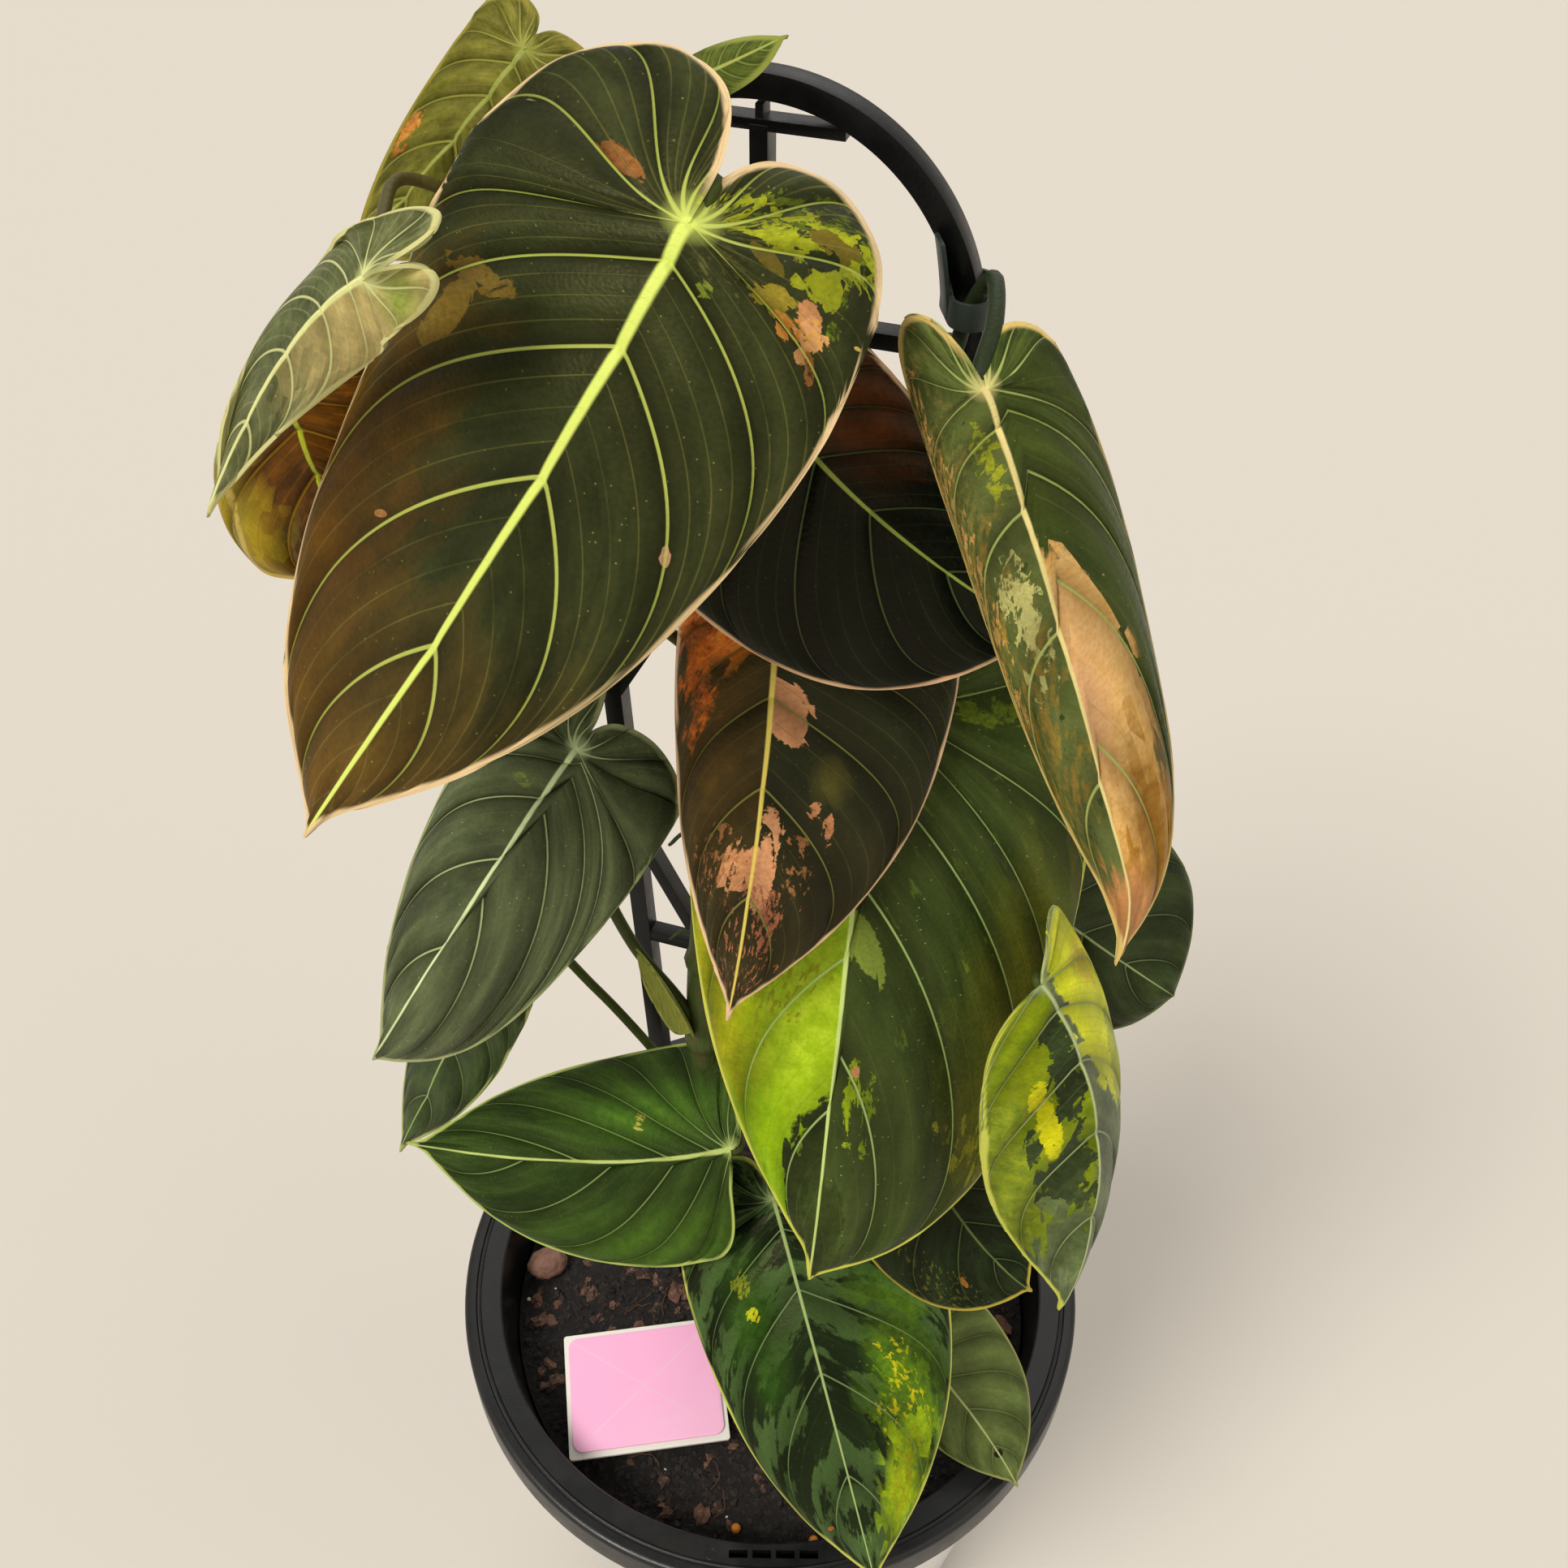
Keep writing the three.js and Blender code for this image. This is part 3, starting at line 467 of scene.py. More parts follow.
        # Tiny pale dots of painted sparkle, in the vein colour
        specks = add("TexVoronoi", {"Vector": flat, "Scale": 1 / self.speck})
        near = add("MapRange", [specks, 0.06, 0.1, self.painted_sparkle, 0.0])
        return add("Mix", [near, base, self.vein]), cells, streak

    def patched(
        self, leaf: Surface, base: Socket, flat: Socket, vein: Socket, cells: Socket, patch: Patch
    ) -> Socket:
        """Lays one patch over the leaf's colour.

        Args:
            leaf: The material.
            base: The colour below.
            flat: The place on the flat blade.
            vein: The place along and across the veins.
            cells: The blade's fine cells.
            patch: The patch.

        Returns:
            The new colour.
        """
        add = leaf.add
        turn = (0.0, 0.0, math.radians(patch.turn))
        own = add(
            "Mapping", [flat, (patch.x, patch.y, 0.0), turn, (patch.wide, patch.tall, 1000.0)],
            vector_type="TEXTURE",
        )
        drawn = add("Mapping", [vein, None, None, Vector(PATCH_STEPS) * patch.grain])
        steps = add("TexVoronoi", {"Vector": drawn, "Scale": 1.0}).node.outputs["Color"]
        ragged = add("TexNoise", {
            "Vector": flat, "Scale": 1 / max(FINEST_RAGGED, 0.5 * min(patch.wide, patch.tall)),
            "Detail": 5.0, "Roughness": 0.7,
        })
        broken = add("SeparateXYZ", [steps])
        broken = add("Math", [broken, ragged], operation="ADD")
        shift = add("MapRange", [broken, 0.3, 1.7, -patch.rough, patch.rough])
        far = add("VectorMath", [own], operation="LENGTH").node.outputs["Value"]
        far = add("Math", [far, shift], operation="ADD")
        mask = add("MapRange", [far, 1 - patch.soft, 1 + patch.soft, 1.0, 0.0])
        if patch.half is not Half.BOTH:
            across = add("SeparateXYZ", [flat])
            way = add("Math", [across, float(patch.half.value)], operation="MULTIPLY")
            inside = add("MapRange", [way, -0.1, 0.1])
            mask = add("Math", [mask, inside], operation="MULTIPLY")
        if patch.cover < 1:
            drawn = add("Mapping", [vein, None, None, Vector(PATCH_GRAIN) * patch.grain])
            blend = add("TexNoise", {"Vector": drawn, "Scale": 1.0, "Detail": 6.0, "Roughness": 0.65})
            limit = 0.66 - 0.32 * patch.cover
            fade = 0.02 + 0.15 * patch.soft
            filled = add("MapRange", [blend, limit - fade, limit + fade])
            mask = add("Math", [mask, filled], operation="MULTIPLY")
        mottled = add("MapRange", [ragged, 0.35, 0.65])
        colour = add("Mix", [mottled, patch.first, patch.second])
        dimmed = add("MapRange", [cells, 0.0, 0.9, 0.88, 1.08])
        colour = add("VectorMath", [colour, dimmed], operation="SCALE")
        return add("Mix", [mask, base, colour])

    def line(
        self, leaf: Surface, counted: Socket, gap: Socket, between: int, width: float | Socket
    ) -> Socket:
        """Thin lines along the veins.

        Args:
            leaf: The material.
            counted: The place across the veins, one for each side vein.
            gap: Millimetres from one side vein to the next.
            between: Lines for each side vein.
            width: A line's half width in millimetres.

        Returns:
            1 on a line and 0 off it.
        """
        add = leaf.add
        many = add("Math", [counted, float(between)], operation="MULTIPLY")
        off = add("Math", [many, 0.5], operation="PINGPONG")
        wide = add("Math", [gap, 1 / between], operation="MULTIPLY")
        far = add("Math", [off, wide], operation="MULTIPLY")
        return self.step(leaf, far, width)

    def step(self, leaf: Surface, far: Socket, width: float | Socket) -> Socket:
        """A soft-edged band: 1 up to its half width from its middle, and 0 outside it."""
        inner, outer = [leaf.add("Math", [width, share], operation="MULTIPLY") for share in (0.55, 1.35)]
        return leaf.add("MapRange", [far, inner, outer, 1.0, 0.0], interpolation_type="SMOOTHSTEP")


@dataclass(frozen=True)
class Underside:
    """The back of a leaf: dull, paler than its face, with raised veins that are paler still."""

    name: str
    colour: str
    flush: str
    vein: str

    def make(self, veins: int) -> Paint:
        """Makes the material.

        Args:
            veins: Side veins on each half.

        Returns:
            The material.
        """
        back = Surface(self.name)
        add = back.add
        vein = add("Attribute", attribute_name="vein").node.outputs["Vector"]
        share, _, gap = add("SeparateXYZ", [vein]).node.outputs
        counted = add("Math", [share, float(veins)], operation="MULTIPLY")
        off = add("Math", [counted, 0.5], operation="PINGPONG")
        far = add("Math", [off, gap], operation="MULTIPLY")
        rib = add("MapRange", [far, 0.2, 0.8, 0.8, 0.0], interpolation_type="SMOOTHSTEP")
        drawn = add("Mapping", [vein, None, None, BACK_STREAKS])
        cloud = add("TexNoise", {"Vector": drawn, "Scale": 1.0, "Detail": 6.0})
        base = add("Mix", [cloud, self.colour, self.flush])
        base = add("Mix", [rib, base, self.vein])
        back.finish({"Base Color": base, "Roughness": 0.6, "IOR": 1.4}, rib, 0.3)
        return back.material


# Mesh work


def clear_selection() -> None:
    """Leaves nothing selected, so that an operator acts on the new piece alone."""
    if bpy.context.mode != "OBJECT":
        bpy.ops.object.mode_set(mode="OBJECT")
    bpy.ops.object.select_all(action="DESELECT")


def choose(piece: Piece) -> None:
    """Makes a piece the only one selected, and the active one.

    Args:
        piece: The piece.
    """
    clear_selection()
    piece.select_set(True)
    bpy.context.view_layer.objects.active = piece


@contextmanager
def editing(piece: Piece) -> Iterator[None]:
    """Opens a piece in edit mode with all of it selected, and closes it again.

    Args:
        piece: The piece.
    """
    choose(piece)
    bpy.ops.object.mode_set(mode="EDIT")
    bpy.ops.mesh.select_all(action="SELECT")
    yield
    bpy.ops.object.mode_set(mode="OBJECT")


def added(operator: Callable, **settings: object) -> Piece:
    """Adds a primitive with nothing else selected.

    Args:
        operator: The operator that adds it.
        settings: The operator's settings.

    Returns:
        The new piece.
    """
    clear_selection()
    operator(**settings)
    return bpy.context.object


def settle(piece: Piece) -> None:
    """Puts a piece's place into its mesh and leaves the object at the origin."""
    choose(piece)
    bpy.ops.object.transform_apply(location=True, rotation=True, scale=True)


def tidy(piece: Piece, outward: bool = True, near: float = 0.01) -> None:
    """Merges doubled vertices and, on a closed shape, points the faces out.

    Args:
        piece: The piece.
        outward: Whether the normals are made to point out.
        near: How close doubles lie, in millimetres.
    """
    with editing(piece):
        bpy.ops.mesh.remove_doubles(threshold=near * MM)
        bpy.ops.mesh.dissolve_degenerate(threshold=1e-7)
        if outward:
            bpy.ops.mesh.normals_make_consistent(inside=False)


def shape(piece: Piece, kind: str, **settings: object) -> None:
    """Adds a modifier and applies it.

    Args:
        piece: The piece.
        kind: The modifier's type.
        settings: Its settings.
    """
    choose(piece)
    modifier = piece.modifiers.new(kind.lower(), kind)
    for key, value in settings.items():
        setattr(modifier, key, value)
    bpy.ops.object.modifier_apply(modifier=modifier.name)


def smooth(piece: Piece, degrees: float = 40.0) -> None:
    """Shades a piece smooth, except at angles that are sharper than so many degrees."""
    choose(piece)
    bpy.ops.object.shade_smooth_by_angle(angle=math.radians(degrees))


def joined(pieces: Sequence[Piece], name: str) -> Piece:
    """Joins pieces into one.

    Args:
        pieces: The pieces.
        name: The new piece's name.

    Returns:
        The joined piece.
    """
    choose(pieces[0])
    for piece in pieces[1:]:
        piece.select_set(True)
    if len(pieces) > 1:
        bpy.ops.object.join()
    pieces[0].name = name
    pieces[0].data.name = name
    return pieces[0]


def laid_grid(name: str, places: np.ndarray) -> Piece:
    """Adds a grid and lays its vertices on a surface.

    Args:
        name: The piece's name.
        places: The surface's points in metres, as rows and columns.

    Returns:
        The piece.
    """
    rows, columns = places.shape[:2]
    piece = added(
        bpy.ops.mesh.primitive_grid_add, x_subdivisions=columns - 1, y_subdivisions=rows - 1, size=1
    )
    piece.name = name
    piece.data.vertices.foreach_set("co", places.reshape(-1).astype(np.float32))
    piece.data.update()
    return piece


def turned(name: str, profile: Sequence[Pair], steps: int) -> Piece:
    """Spins an outline about the Z axis.

    Args:
        name: The piece's name.
        profile: Radius and height of its corners in millimetres. The first and last are on the axis.
        steps: Steps round the axis.

    Returns:
        The piece.
    """
    piece = added(bpy.ops.mesh.primitive_circle_add, vertices=len(profile), radius=1)
    piece.name = name
    for vertex, (radius, height) in zip(piece.data.vertices, profile):
        vertex.co = (radius * MM, 0.0, height * MM)
    with editing(piece):
        bpy.ops.mesh.select_mode(type="EDGE")
        bpy.ops.mesh.select_all(action="DESELECT")
    on_axis = {0, len(profile) - 1}
    for edge in piece.data.edges:
        edge.select = set(edge.vertices) == on_axis
    bpy.ops.object.mode_set(mode="EDIT")
    bpy.ops.mesh.delete(type="EDGE")
    bpy.ops.mesh.select_mode(type="VERT")
    bpy.ops.object.mode_set(mode="OBJECT")
    with editing(piece):
        bpy.ops.mesh.spin(steps=steps, angle=2 * math.pi, center=(0, 0, 0), axis=(0, 0, 1))
    tidy(piece)
    return piece


def catmull(points: Sequence[Point], count: int) -> np.ndarray:
    """A smooth centripetal curve through points.

    Args:
        points: The points.
        count: How many places to give along it.

    Returns:
        The places.
    """
    given = np.array(points, float)
    first = 2 * given[0] - given[1]
    last = 2 * given[-1] - given[-2]
    held = np.vstack([first, given, last])
    places = []
    for u in np.linspace(0, len(given) - 1, count):
        i = min(int(u), len(given) - 2)
        w = u - i
        p0, p1, p2, p3 = held[i : i + 4]
        d0, d1, d2 = [max(1e-6, np.linalg.norm(b - a) ** 0.5) for a, b in ((p0, p1), (p1, p2), (p2, p3))]
        t1 = (p1 - p0) / d0 - (p2 - p0) / (d0 + d1) + (p2 - p1) / d1
        t2 = (p2 - p1) / d1 - (p3 - p1) / (d1 + d2) + (p3 - p2) / d2
        v1, v2 = t1 * d1, t2 * d1
        rise = p1 - p2
        places.append((2 * rise + v1 + v2) * w**3 - (3 * rise + 2 * v1 + v2) * w**2 + v1 * w + p1)
    return np.array(places)


def round_bar(name: str, path: np.ndarray, radii: np.ndarray, resolution: int = 2) -> Piece:
    """A round bar along a path, made as a curve and turned to a mesh.

    Args:
        name: The piece's name.
        path: Its middle line in millimetres.
        radii: Its radius at each point of the path.
        resolution: How round it is: 2 gives 12 sides.

    Returns:
        The piece.
    """
    curve = added(bpy.ops.curve.primitive_nurbs_path_add)
    curve.name = name
    curve.data.splines.clear()
    curve.data.dimensions = "3D"
    curve.data.twist_mode = "MINIMUM"
    spline = curve.data.splines.new("POLY")
    spline.points.add(len(path) - 1)
    for point, place, radius in zip(spline.points, path, radii):
        point.co = (*(place * MM), 1.0)
        point.radius = radius * MM
    curve.data.bevel_depth = 1.0
    curve.data.bevel_resolution = resolution
    curve.data.use_fill_caps = True
    bpy.ops.object.convert(target="MESH")
    piece = bpy.context.object
    settle(piece)
    tidy(piece, near=0.001)
    smooth(piece, 60)
    return piece


def dress(piece: Piece, materials: Sequence[Paint]) -> None:
    """Gives a piece its materials.

    Args:
        piece: The piece.
        materials: One for each slot.
    """
    piece.data.materials.clear()
    for material in materials:
        piece.data.materials.append(material)


def belongs(piece: Piece, slot: str, *nodes: str) -> None:
    """Makes a finished piece part of the object, and reports it.

    Args:
        piece: The piece.
        slot: The piece's material slot. Not used.
        nodes: The solids that it stands for.
    """
    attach(piece, "root")
    if nodes:
        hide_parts(*nodes)
    triangles = sum(len(face.vertices) - 2 for face in piece.data.polygons)
    LOG.info("%s: %d triangles", piece.name, triangles)


# Stem


STEM_PATH: tuple[Point, ...] = (
    (-3, -17, 120), (-4, -15, 178), (-9, -11, 250), (-15, -10.5, 300), (-18, -10.5, 336),
    (-15, -10.5, 390), (-10, -10.5, 450), (-8, -11.5, 500), (-7, -12, 530), (-7, -12.5, 556),
)


@dataclass
class Stem:
    """The climbing stem with a ring at each node, and its short aerial roots.

    swell, reach: how much thicker it is at a node, and how far along. ring: height of a leaf scar.
    roots: each one's height on the stem, the points that it passes and its radius.
    """

    foot_radius: float = 4.6
    top_radius: float = 3.5
    swell: float = 1.1
    reach: float = 4.0
    ring: float = 0.25
    stations: int = 420
    roots: tuple = (
        (372, ((-22, -8, 371), (-25.5, -6, 366)), 0.8),
        (402, ((-20, -7, 405), (-24.5, -5, 399)), 0.8),
        (322, ((-12, -5, 316), (-9, -4.5, 302), (-9.5, -4, 288)), 0.8),
        (232, ((-12, -6, 222), (-14, -4, 200), (-13, -3, 170)), 1.0),
        (460, ((-14, -6, 456), (-17, -3.5, 444)), 0.8),
    )

    def __post_init__(self) -> None:
        """Lays the middle line through its points."""
        self.path = catmull(STEM_PATH, self.stations)

    def at(self, height: float) -> np.ndarray:
        """The stem's middle at a height."""
        return np.array([np.interp(height, self.path[:, 2], self.path[:, axis]) for axis in range(3)])

    def build(self, joints: Sequence[float]) -> None:
        """Builds the stem and its roots.

        Args:
            joints: Heights of the nodes where petioles start.
        """
        heights = self.path[:, 2]
        near = np.min(np.abs(heights[:, None] - np.array(joints)), axis=1)
        radii = np.interp(heights, [heights[0], heights[-1]], [self.foot_radius, self.top_radius])
        radii += self.swell * np.maximum(0, 1 - near / self.reach) ** 1.3
        radii += self.ring * np.exp(-(((near - 1.6) / 0.5) ** 2))
        bars = [round_bar("stem_bar", self.path, radii, 5)]
        for start, way, radius in self.roots:
            path = catmull([self.at(start), *way], 26)
            taper = np.linspace(1.0, 0.55, len(path))
            wobble = np.array([noise.noise(Vector(p) * 0.4) for p in path])
            bars.append(round_bar("root_bar", path, radius * taper * (1 + 0.25 * wobble), 1))
        stem = joined(bars, "climbing_stem")
        cork = Bark("waxy_green_stem_with_cork", "#4d5a2a", "#34401c", "#5a4630", corky=0.55)
        dress(stem, [cork.make()])
        belongs(stem, "stem", "main_stem")


# Leaves


# One half of a heart-shaped blade, from the notch round to the tip: half widths across, and lengths
# along, or lobe depths where the second number is below zero
OUTLINE = np.array([
    (0.0, 0.0), (0.02, -0.5), (0.16, -0.92), (0.46, -1.0), (0.78, -0.62), (0.96, 0.03), (1.0, 0.21),
    (0.94, 0.42), (0.79, 0.61), (0.53, 0.77), (0.23, 0.89), (0.05, 0.955), (0.0, 1.0),
])
FAN = 0.5  # share of the margin whose veins start at the petiole
TRIM = 0.42  # share of the margin left out where the base slants: its outermost vein is the edge
LOBE_ANGLE, BASE_ANGLE, TIP_ANGLE = 165.0, 60.0, 35.0  # degrees from a side vein to the midrib
VEIN_LEAVE = 0.38  # how straight a vein leaves the midrib
VEIN_ARRIVE = 0.67  # and how far it runs along the margin, for a sweep of 1
BLADE = 0.6  # thickness of a blade in millimetres
PAD_GAP = (1.5, 9.0)  # millimetres between side veins at which the pads start and are full
FINE_PADS = 0.1  # height of the small pads between the faint veins
UNEVEN_SPAN = 17.0  # size of a blade's slow unevenness in millimetres


@dataclass(frozen=True)
class Blade:
    """A heart-shaped blade, bent along a midrib. Pairs are for its left and right half.

    half: width. lobe: depth of the basal lobe in lengths, below zero for a slanting base.
    gape: how far the lobes spread. slim: how much narrower the base is. full: how far the widest
    part moves to the tip. fold: degrees that a half rises. roll: degrees that it curls back.
    curl: how far the lobes bend to the front. hook: how far the tip bends aside. wave: the
    margin's waves. veins: side veins on each half. rows: mesh rows from a side vein to the next.
    pulls: where the left margin is drawn out: share, reach, and millimetres out and down. quilt:
    height of the pads between the veins. ridge: height of the midrib. uneven: of the whole blade.
    lean: degrees that the side veins lie closer to the midrib. sweep: how they crowd to the petiole.
    """

    at: Point
    via: Point
    tip: Point
    faces: Point
    half: Pair
    lobe: Pair = (0.1, 0.1)
    gape: float = 0.0
    full: Pair = (0.0, 0.0)
    slim: Pair = (0.0, 0.0)
    fold: Pair = (-5.0, -5.0)
    roll: Pair = (20.0, 20.0)
    curl: Pair = (0.0, 0.0)
    hook: float = 0.0
    wave: float = 0.0
    veins: int = 10
    rows: int = 10
    columns: int = 24
    pulls: tuple[tuple[float, float, float, float], ...] = ()
    quilt: float = 1.3
    ridge: float = 0.5
    uneven: float = 1.1
    lean: Pair = (0.0, 0.0)
    sweep: Pair = (1.6, 1.6)

    @property
    def bend(self) -> np.ndarray:
        """The middle control point of the midrib's curve."""
        return 2 * np.array(self.via, float) - 0.5 * (np.array(self.at) + np.array(self.tip))

    @property
    def length(self) -> float:
        """The midrib's length in millimetres."""
        places = self.curve(np.linspace(0, 1, 400))
        return float(np.linalg.norm(np.diff(places, axis=0), axis=1).sum())

    def curve(self, run: np.ndarray) -> np.ndarray:
        """Points of the midrib at shares of its length."""
        run, start, end = np.asarray(run, float)[..., None], np.array(self.at), np.array(self.tip)
        return (1 - run) ** 2 * start + 2 * run * (1 - run) * self.bend + run * run * end

    def midrib(self, run: np.ndarray) -> tuple[np.ndarray, np.ndarray, np.ndarray, np.ndarray]:
        """The midrib's frame.

        Args:
            run: Shares of its length, below zero behind the petiole.

        Returns:
            Its places, and its directions forward, up and to the right.
        """
        held = np.clip(run, 0, 1)[..., None]
        start, end = np.array(self.at, float), np.array(self.tip, float)
        forward = (1 - held) * (self.bend - start) + held * (end - self.bend)
        forward /= np.linalg.norm(forward, axis=-1, keepdims=True)
        place = self.curve(held[..., 0]) + forward * np.minimum(run, 0)[..., None] * self.length
        facing = np.array(self.faces, float)
        facing /= np.linalg.norm(facing)
        up = facing - forward * (forward @ facing)[..., None]
        up /= np.linalg.norm(up, axis=-1, keepdims=True)
        return place, forward, up, np.cross(up, forward)

    def outline(self, share: np.ndarray, side: int) -> np.ndarray:
        """The outline of one half.

        Args:
            share: Shares of the way from the notch to the tip.
            side: 0 for the left half and 1 for the right.

        Returns:
            Half widths across and lengths along.
        """
        last = len(OUTLINE) - 1
        share = np.clip(share, 0, 1)
        first = np.minimum((share * last).astype(int), last - 1)
        w = (share * last - first)[..., None]
        p0, p1, p2, p3 = [OUTLINE[np.clip(first + k, 0, last)] for k in (-1, 0, 1, 2)]
        v0, v1 = (p2 - p0) / 2, (p3 - p1) / 2
        rise = p1 - p2
        curve = (2 * rise + v0 + v1) * w**3 - (3 * rise + 2 * v0 + v1) * w**2 + v0 * w + p1
        x, y = curve[..., 0], curve[..., 1]
        if self.lobe[side] < 0:
            y = np.maximum(y, 0)
            y = y - self.lobe[side] * x * (1 - y)
        else:
            x = np.where(y < 0, x - self.gape * y * (1 - x), x)
            y = np.where(y < 0, y * self.lobe[side], y)
        y = np.where(y > 0, y + 2 * self.full[side] * y * (1 - y), y)
        x = x * (1 - self.slim[side] * (1 - np.maximum(0, y)) ** 3)
        return np.stack([x, y], -1)

    def flat(self, share: np.ndarray, out: np.ndarray, side: int) -> np.ndarray:
        """Points of one half of the flat blade.

        Args:
            share: Shares of the way round the margin.
            out: Shares of the way out along a side vein.
            side: 0 for the left half and 1 for the right.

        Returns:
            Millimetres across and along.
        """
        size = np.array([self.half[side], self.length])
        step = 0.001
        end = self.outline(share, side) * size
        along = (self.outline(share + step, side) - self.outline(share - step, side)) * size
        along /= np.linalg.norm(along, axis=-1, keepdims=True) + 1e-12
        for middle, reach, across, down in self.pulls if side == 0 else ():
            end = end + np.exp(-(((share - middle) / reach) ** 2))[..., None] * np.array([across, down])
        run = np.clip((share - FAN) / (1 - FAN), 0, 1)
        start = np.stack([0 * run, self.length * run ** self.sweep[side]], -1)
        base, tip = BASE_ANGLE - self.lean[side], TIP_ANGLE - 0.6 * self.lean[side]
        fanned = LOBE_ANGLE + (base - LOBE_ANGLE) * share / FAN
        angle = np.radians(np.where(share <= FAN, fanned, base + (tip - base) * run))
        away = np.stack([np.sin(angle), np.cos(angle)], -1)
        reach = np.linalg.norm(end - start, axis=-1, keepdims=True)
        leave = start + VEIN_LEAVE * reach * away
        arrive = end - VEIN_ARRIVE / self.sweep[side] * reach * along
        t = out[..., None]
        near = (1 - t) ** 3 * start + 3 * t * (1 - t) ** 2 * leave
        return near + 3 * t * t * (1 - t) * arrive + t**3 * end

    def relief(self, flat: np.ndarray, share: np.ndarray, out: np.ndarray, gap: np.ndarray) -> np.ndarray:
        """The small heights of the blade: pads between the veins, the midrib's ridge, unevenness.

        Args:
            flat: Places on the flat blade.
            share: Shares of the way round the margin.
            out: Shares of the way out.
            gap: Millimetres from one side vein to the next.

        Returns:
            Heights in millimetres.
        """
        across = np.sin(np.pi * share * self.veins)
        full = ramp(gap, *PAD_GAP) * (1 - ramp(out, 0.8, 1.0))
        pads = self.quilt * full * np.abs(across) ** 0.6
        fine = FINE_PADS * full * np.abs(np.sin(np.pi * share * self.veins * 4)) ** 0.7
        run = np.clip(flat[..., 1] / self.length, 0, 1)
        spine = self.ridge * (1 - 0.7 * run) * np.exp(-((flat[..., 0] / (1.3 - 0.8 * run)) ** 2))
        spine *= ramp(flat[..., 1], -6.0, 2.0)
        waver = [
            noise.noise(Vector((*place, 5.0 * self.at[0])) / UNEVEN_SPAN) for place in flat.reshape(-1, 2)
        ]
        return pads + fine + spine + self.uneven * np.array(waver).reshape(share.shape) * out

    def half_grid(self, side: int) -> dict[str, np.ndarray]:
        """Everything at the mesh points of one half.

        Args:
            side: 0 for the left half and 1 for the right.

        Returns:
            The places, and the vectors flat, vein and edge that the materials read.
        """
        shares = np.linspace(0, 1, self.veins * self.rows + 1)
        share, out = np.meshgrid(shares, np.linspace(0, 1, self.columns + 1), indexing="ij")
        way = -1 if side == 0 else 1
        trim = TRIM if self.lobe[side] < 0 else 0.0
        share = np.where(share < FAN, trim + (1 - trim / FAN) * share, share)
        flat = self.flat(share, out, side)
        step = 0.004
        low, high = np.clip(share - step, 0, 1), np.clip(share + step, 0, 1)
        moved = self.flat(high, out, side) - self.flat(low, out, side)
        further, nearer = np.clip(out + 0.01, 0, 1), np.clip(out - 0.01, 0, 1)
        vein = self.flat(share, further, side) - self.flat(share, nearer, side)
        vein /= np.linalg.norm(vein, axis=-1, keepdims=True) + 1e-9
        crossing = np.abs(moved[..., 0] * vein[..., 1] - moved[..., 1] * vein[..., 0])
        gap = crossing / (high - low) / self.veins
        rim = np.concatenate([flat[:, -1], flat[0]]) if trim else flat[:, -1]
        margin = np.min(np.linalg.norm(flat[:, :, None] - rim[None, None], axis=-1), axis=-1)
        middle = np.hypot(flat[..., 0], 1.2 * np.minimum(flat[..., 1], 0))
        run = flat[..., 1] / self.length
        fold, roll = math.radians(self.fold[side]), math.radians(self.roll[side])
        turned_by = fold - roll * np.abs(flat[..., 0]) / self.half[side]
        aside = self.half[side] * (math.sin(fold) - np.sin(turned_by)) / roll
        rise = self.half[side] * (np.cos(turned_by) - math.cos(fold)) / roll
        rise += self.wave * out**1.6 * np.sin(6 * np.pi * share) * np.minimum(1, 4 - 4 * share)
        lobed = self.curl[side] * -run / max(0.05, self.lobe[side])
        rise += np.where(run < 0, lobed, 0) + self.relief(flat, share, out, gap)
        hook = self.hook * (np.maximum(0, run - 0.85) / 0.15) ** 2
        place, _, up, right = self.midrib(run)
        signed = np.stack([way * flat[..., 0], flat[..., 1], 0 * share], -1)
        return {
            "place": place + right * (way * aside + hook)[..., None] + up * rise[..., None],
            "flat": signed,
            "vein": np.stack([share, out, gap], -1),
            "edge": np.stack([margin, middle, run], -1),
        }

    def build(self, name: str, front: Paint, back: Paint) -> Piece:
        """Builds the blade.

        Args:
            name: The piece's name.
            front: The material of its face and margin.
            back: The material of its back.

        Returns:
            The piece.
        """
        left, right = self.half_grid(0), self.half_grid(1)
        whole = {key: np.concatenate([left[key][:, ::-1], right[key][:, 1:]], axis=1) for key in left}
        piece = laid_grid(name, whole["place"] * MM)
        mesh = piece.data
        corners = np.zeros(len(mesh.loops), int)
        mesh.loops.foreach_get("vertex_index", corners)
        for key in ("flat", "vein", "edge"):
            attribute = mesh.attributes.new(key, "FLOAT_VECTOR", "CORNER")
            values = whole[key].reshape(-1, 3)[corners]
            attribute.data.foreach_set("vector", values.astype(np.float32).ravel())
        normals = np.array([face.normal[:] for face in mesh.polygons])
        _, _, up, _ = self.midrib(np.array([0.5]))
        if (normals @ up[0]).sum() < 0:
            with editing(piece):
                bpy.ops.mesh.flip_normals()
        tidy(piece, outward=False)
        dress(piece, [front, back])
        shape(piece, "SOLIDIFY", thickness=BLADE * MM, offset=0.0, material_offset=1,
              material_offset_rim=0)
        smooth(piece, 50)
        return piece


SHEATH = Blade(
    at=(-21, -13, 337), via=(-25.5, -13.4, 353), tip=(-34, -14, 373), faces=(-0.4, -1, 0.3),
    half=(4.6, 4.6), lobe=(-0.25, -0.25), full=(0.1, 0.1), fold=(35, 35), roll=(-30, -30),
    rows=4, columns=8, quilt=0.0, ridge=0.0, uneven=0.2,
)


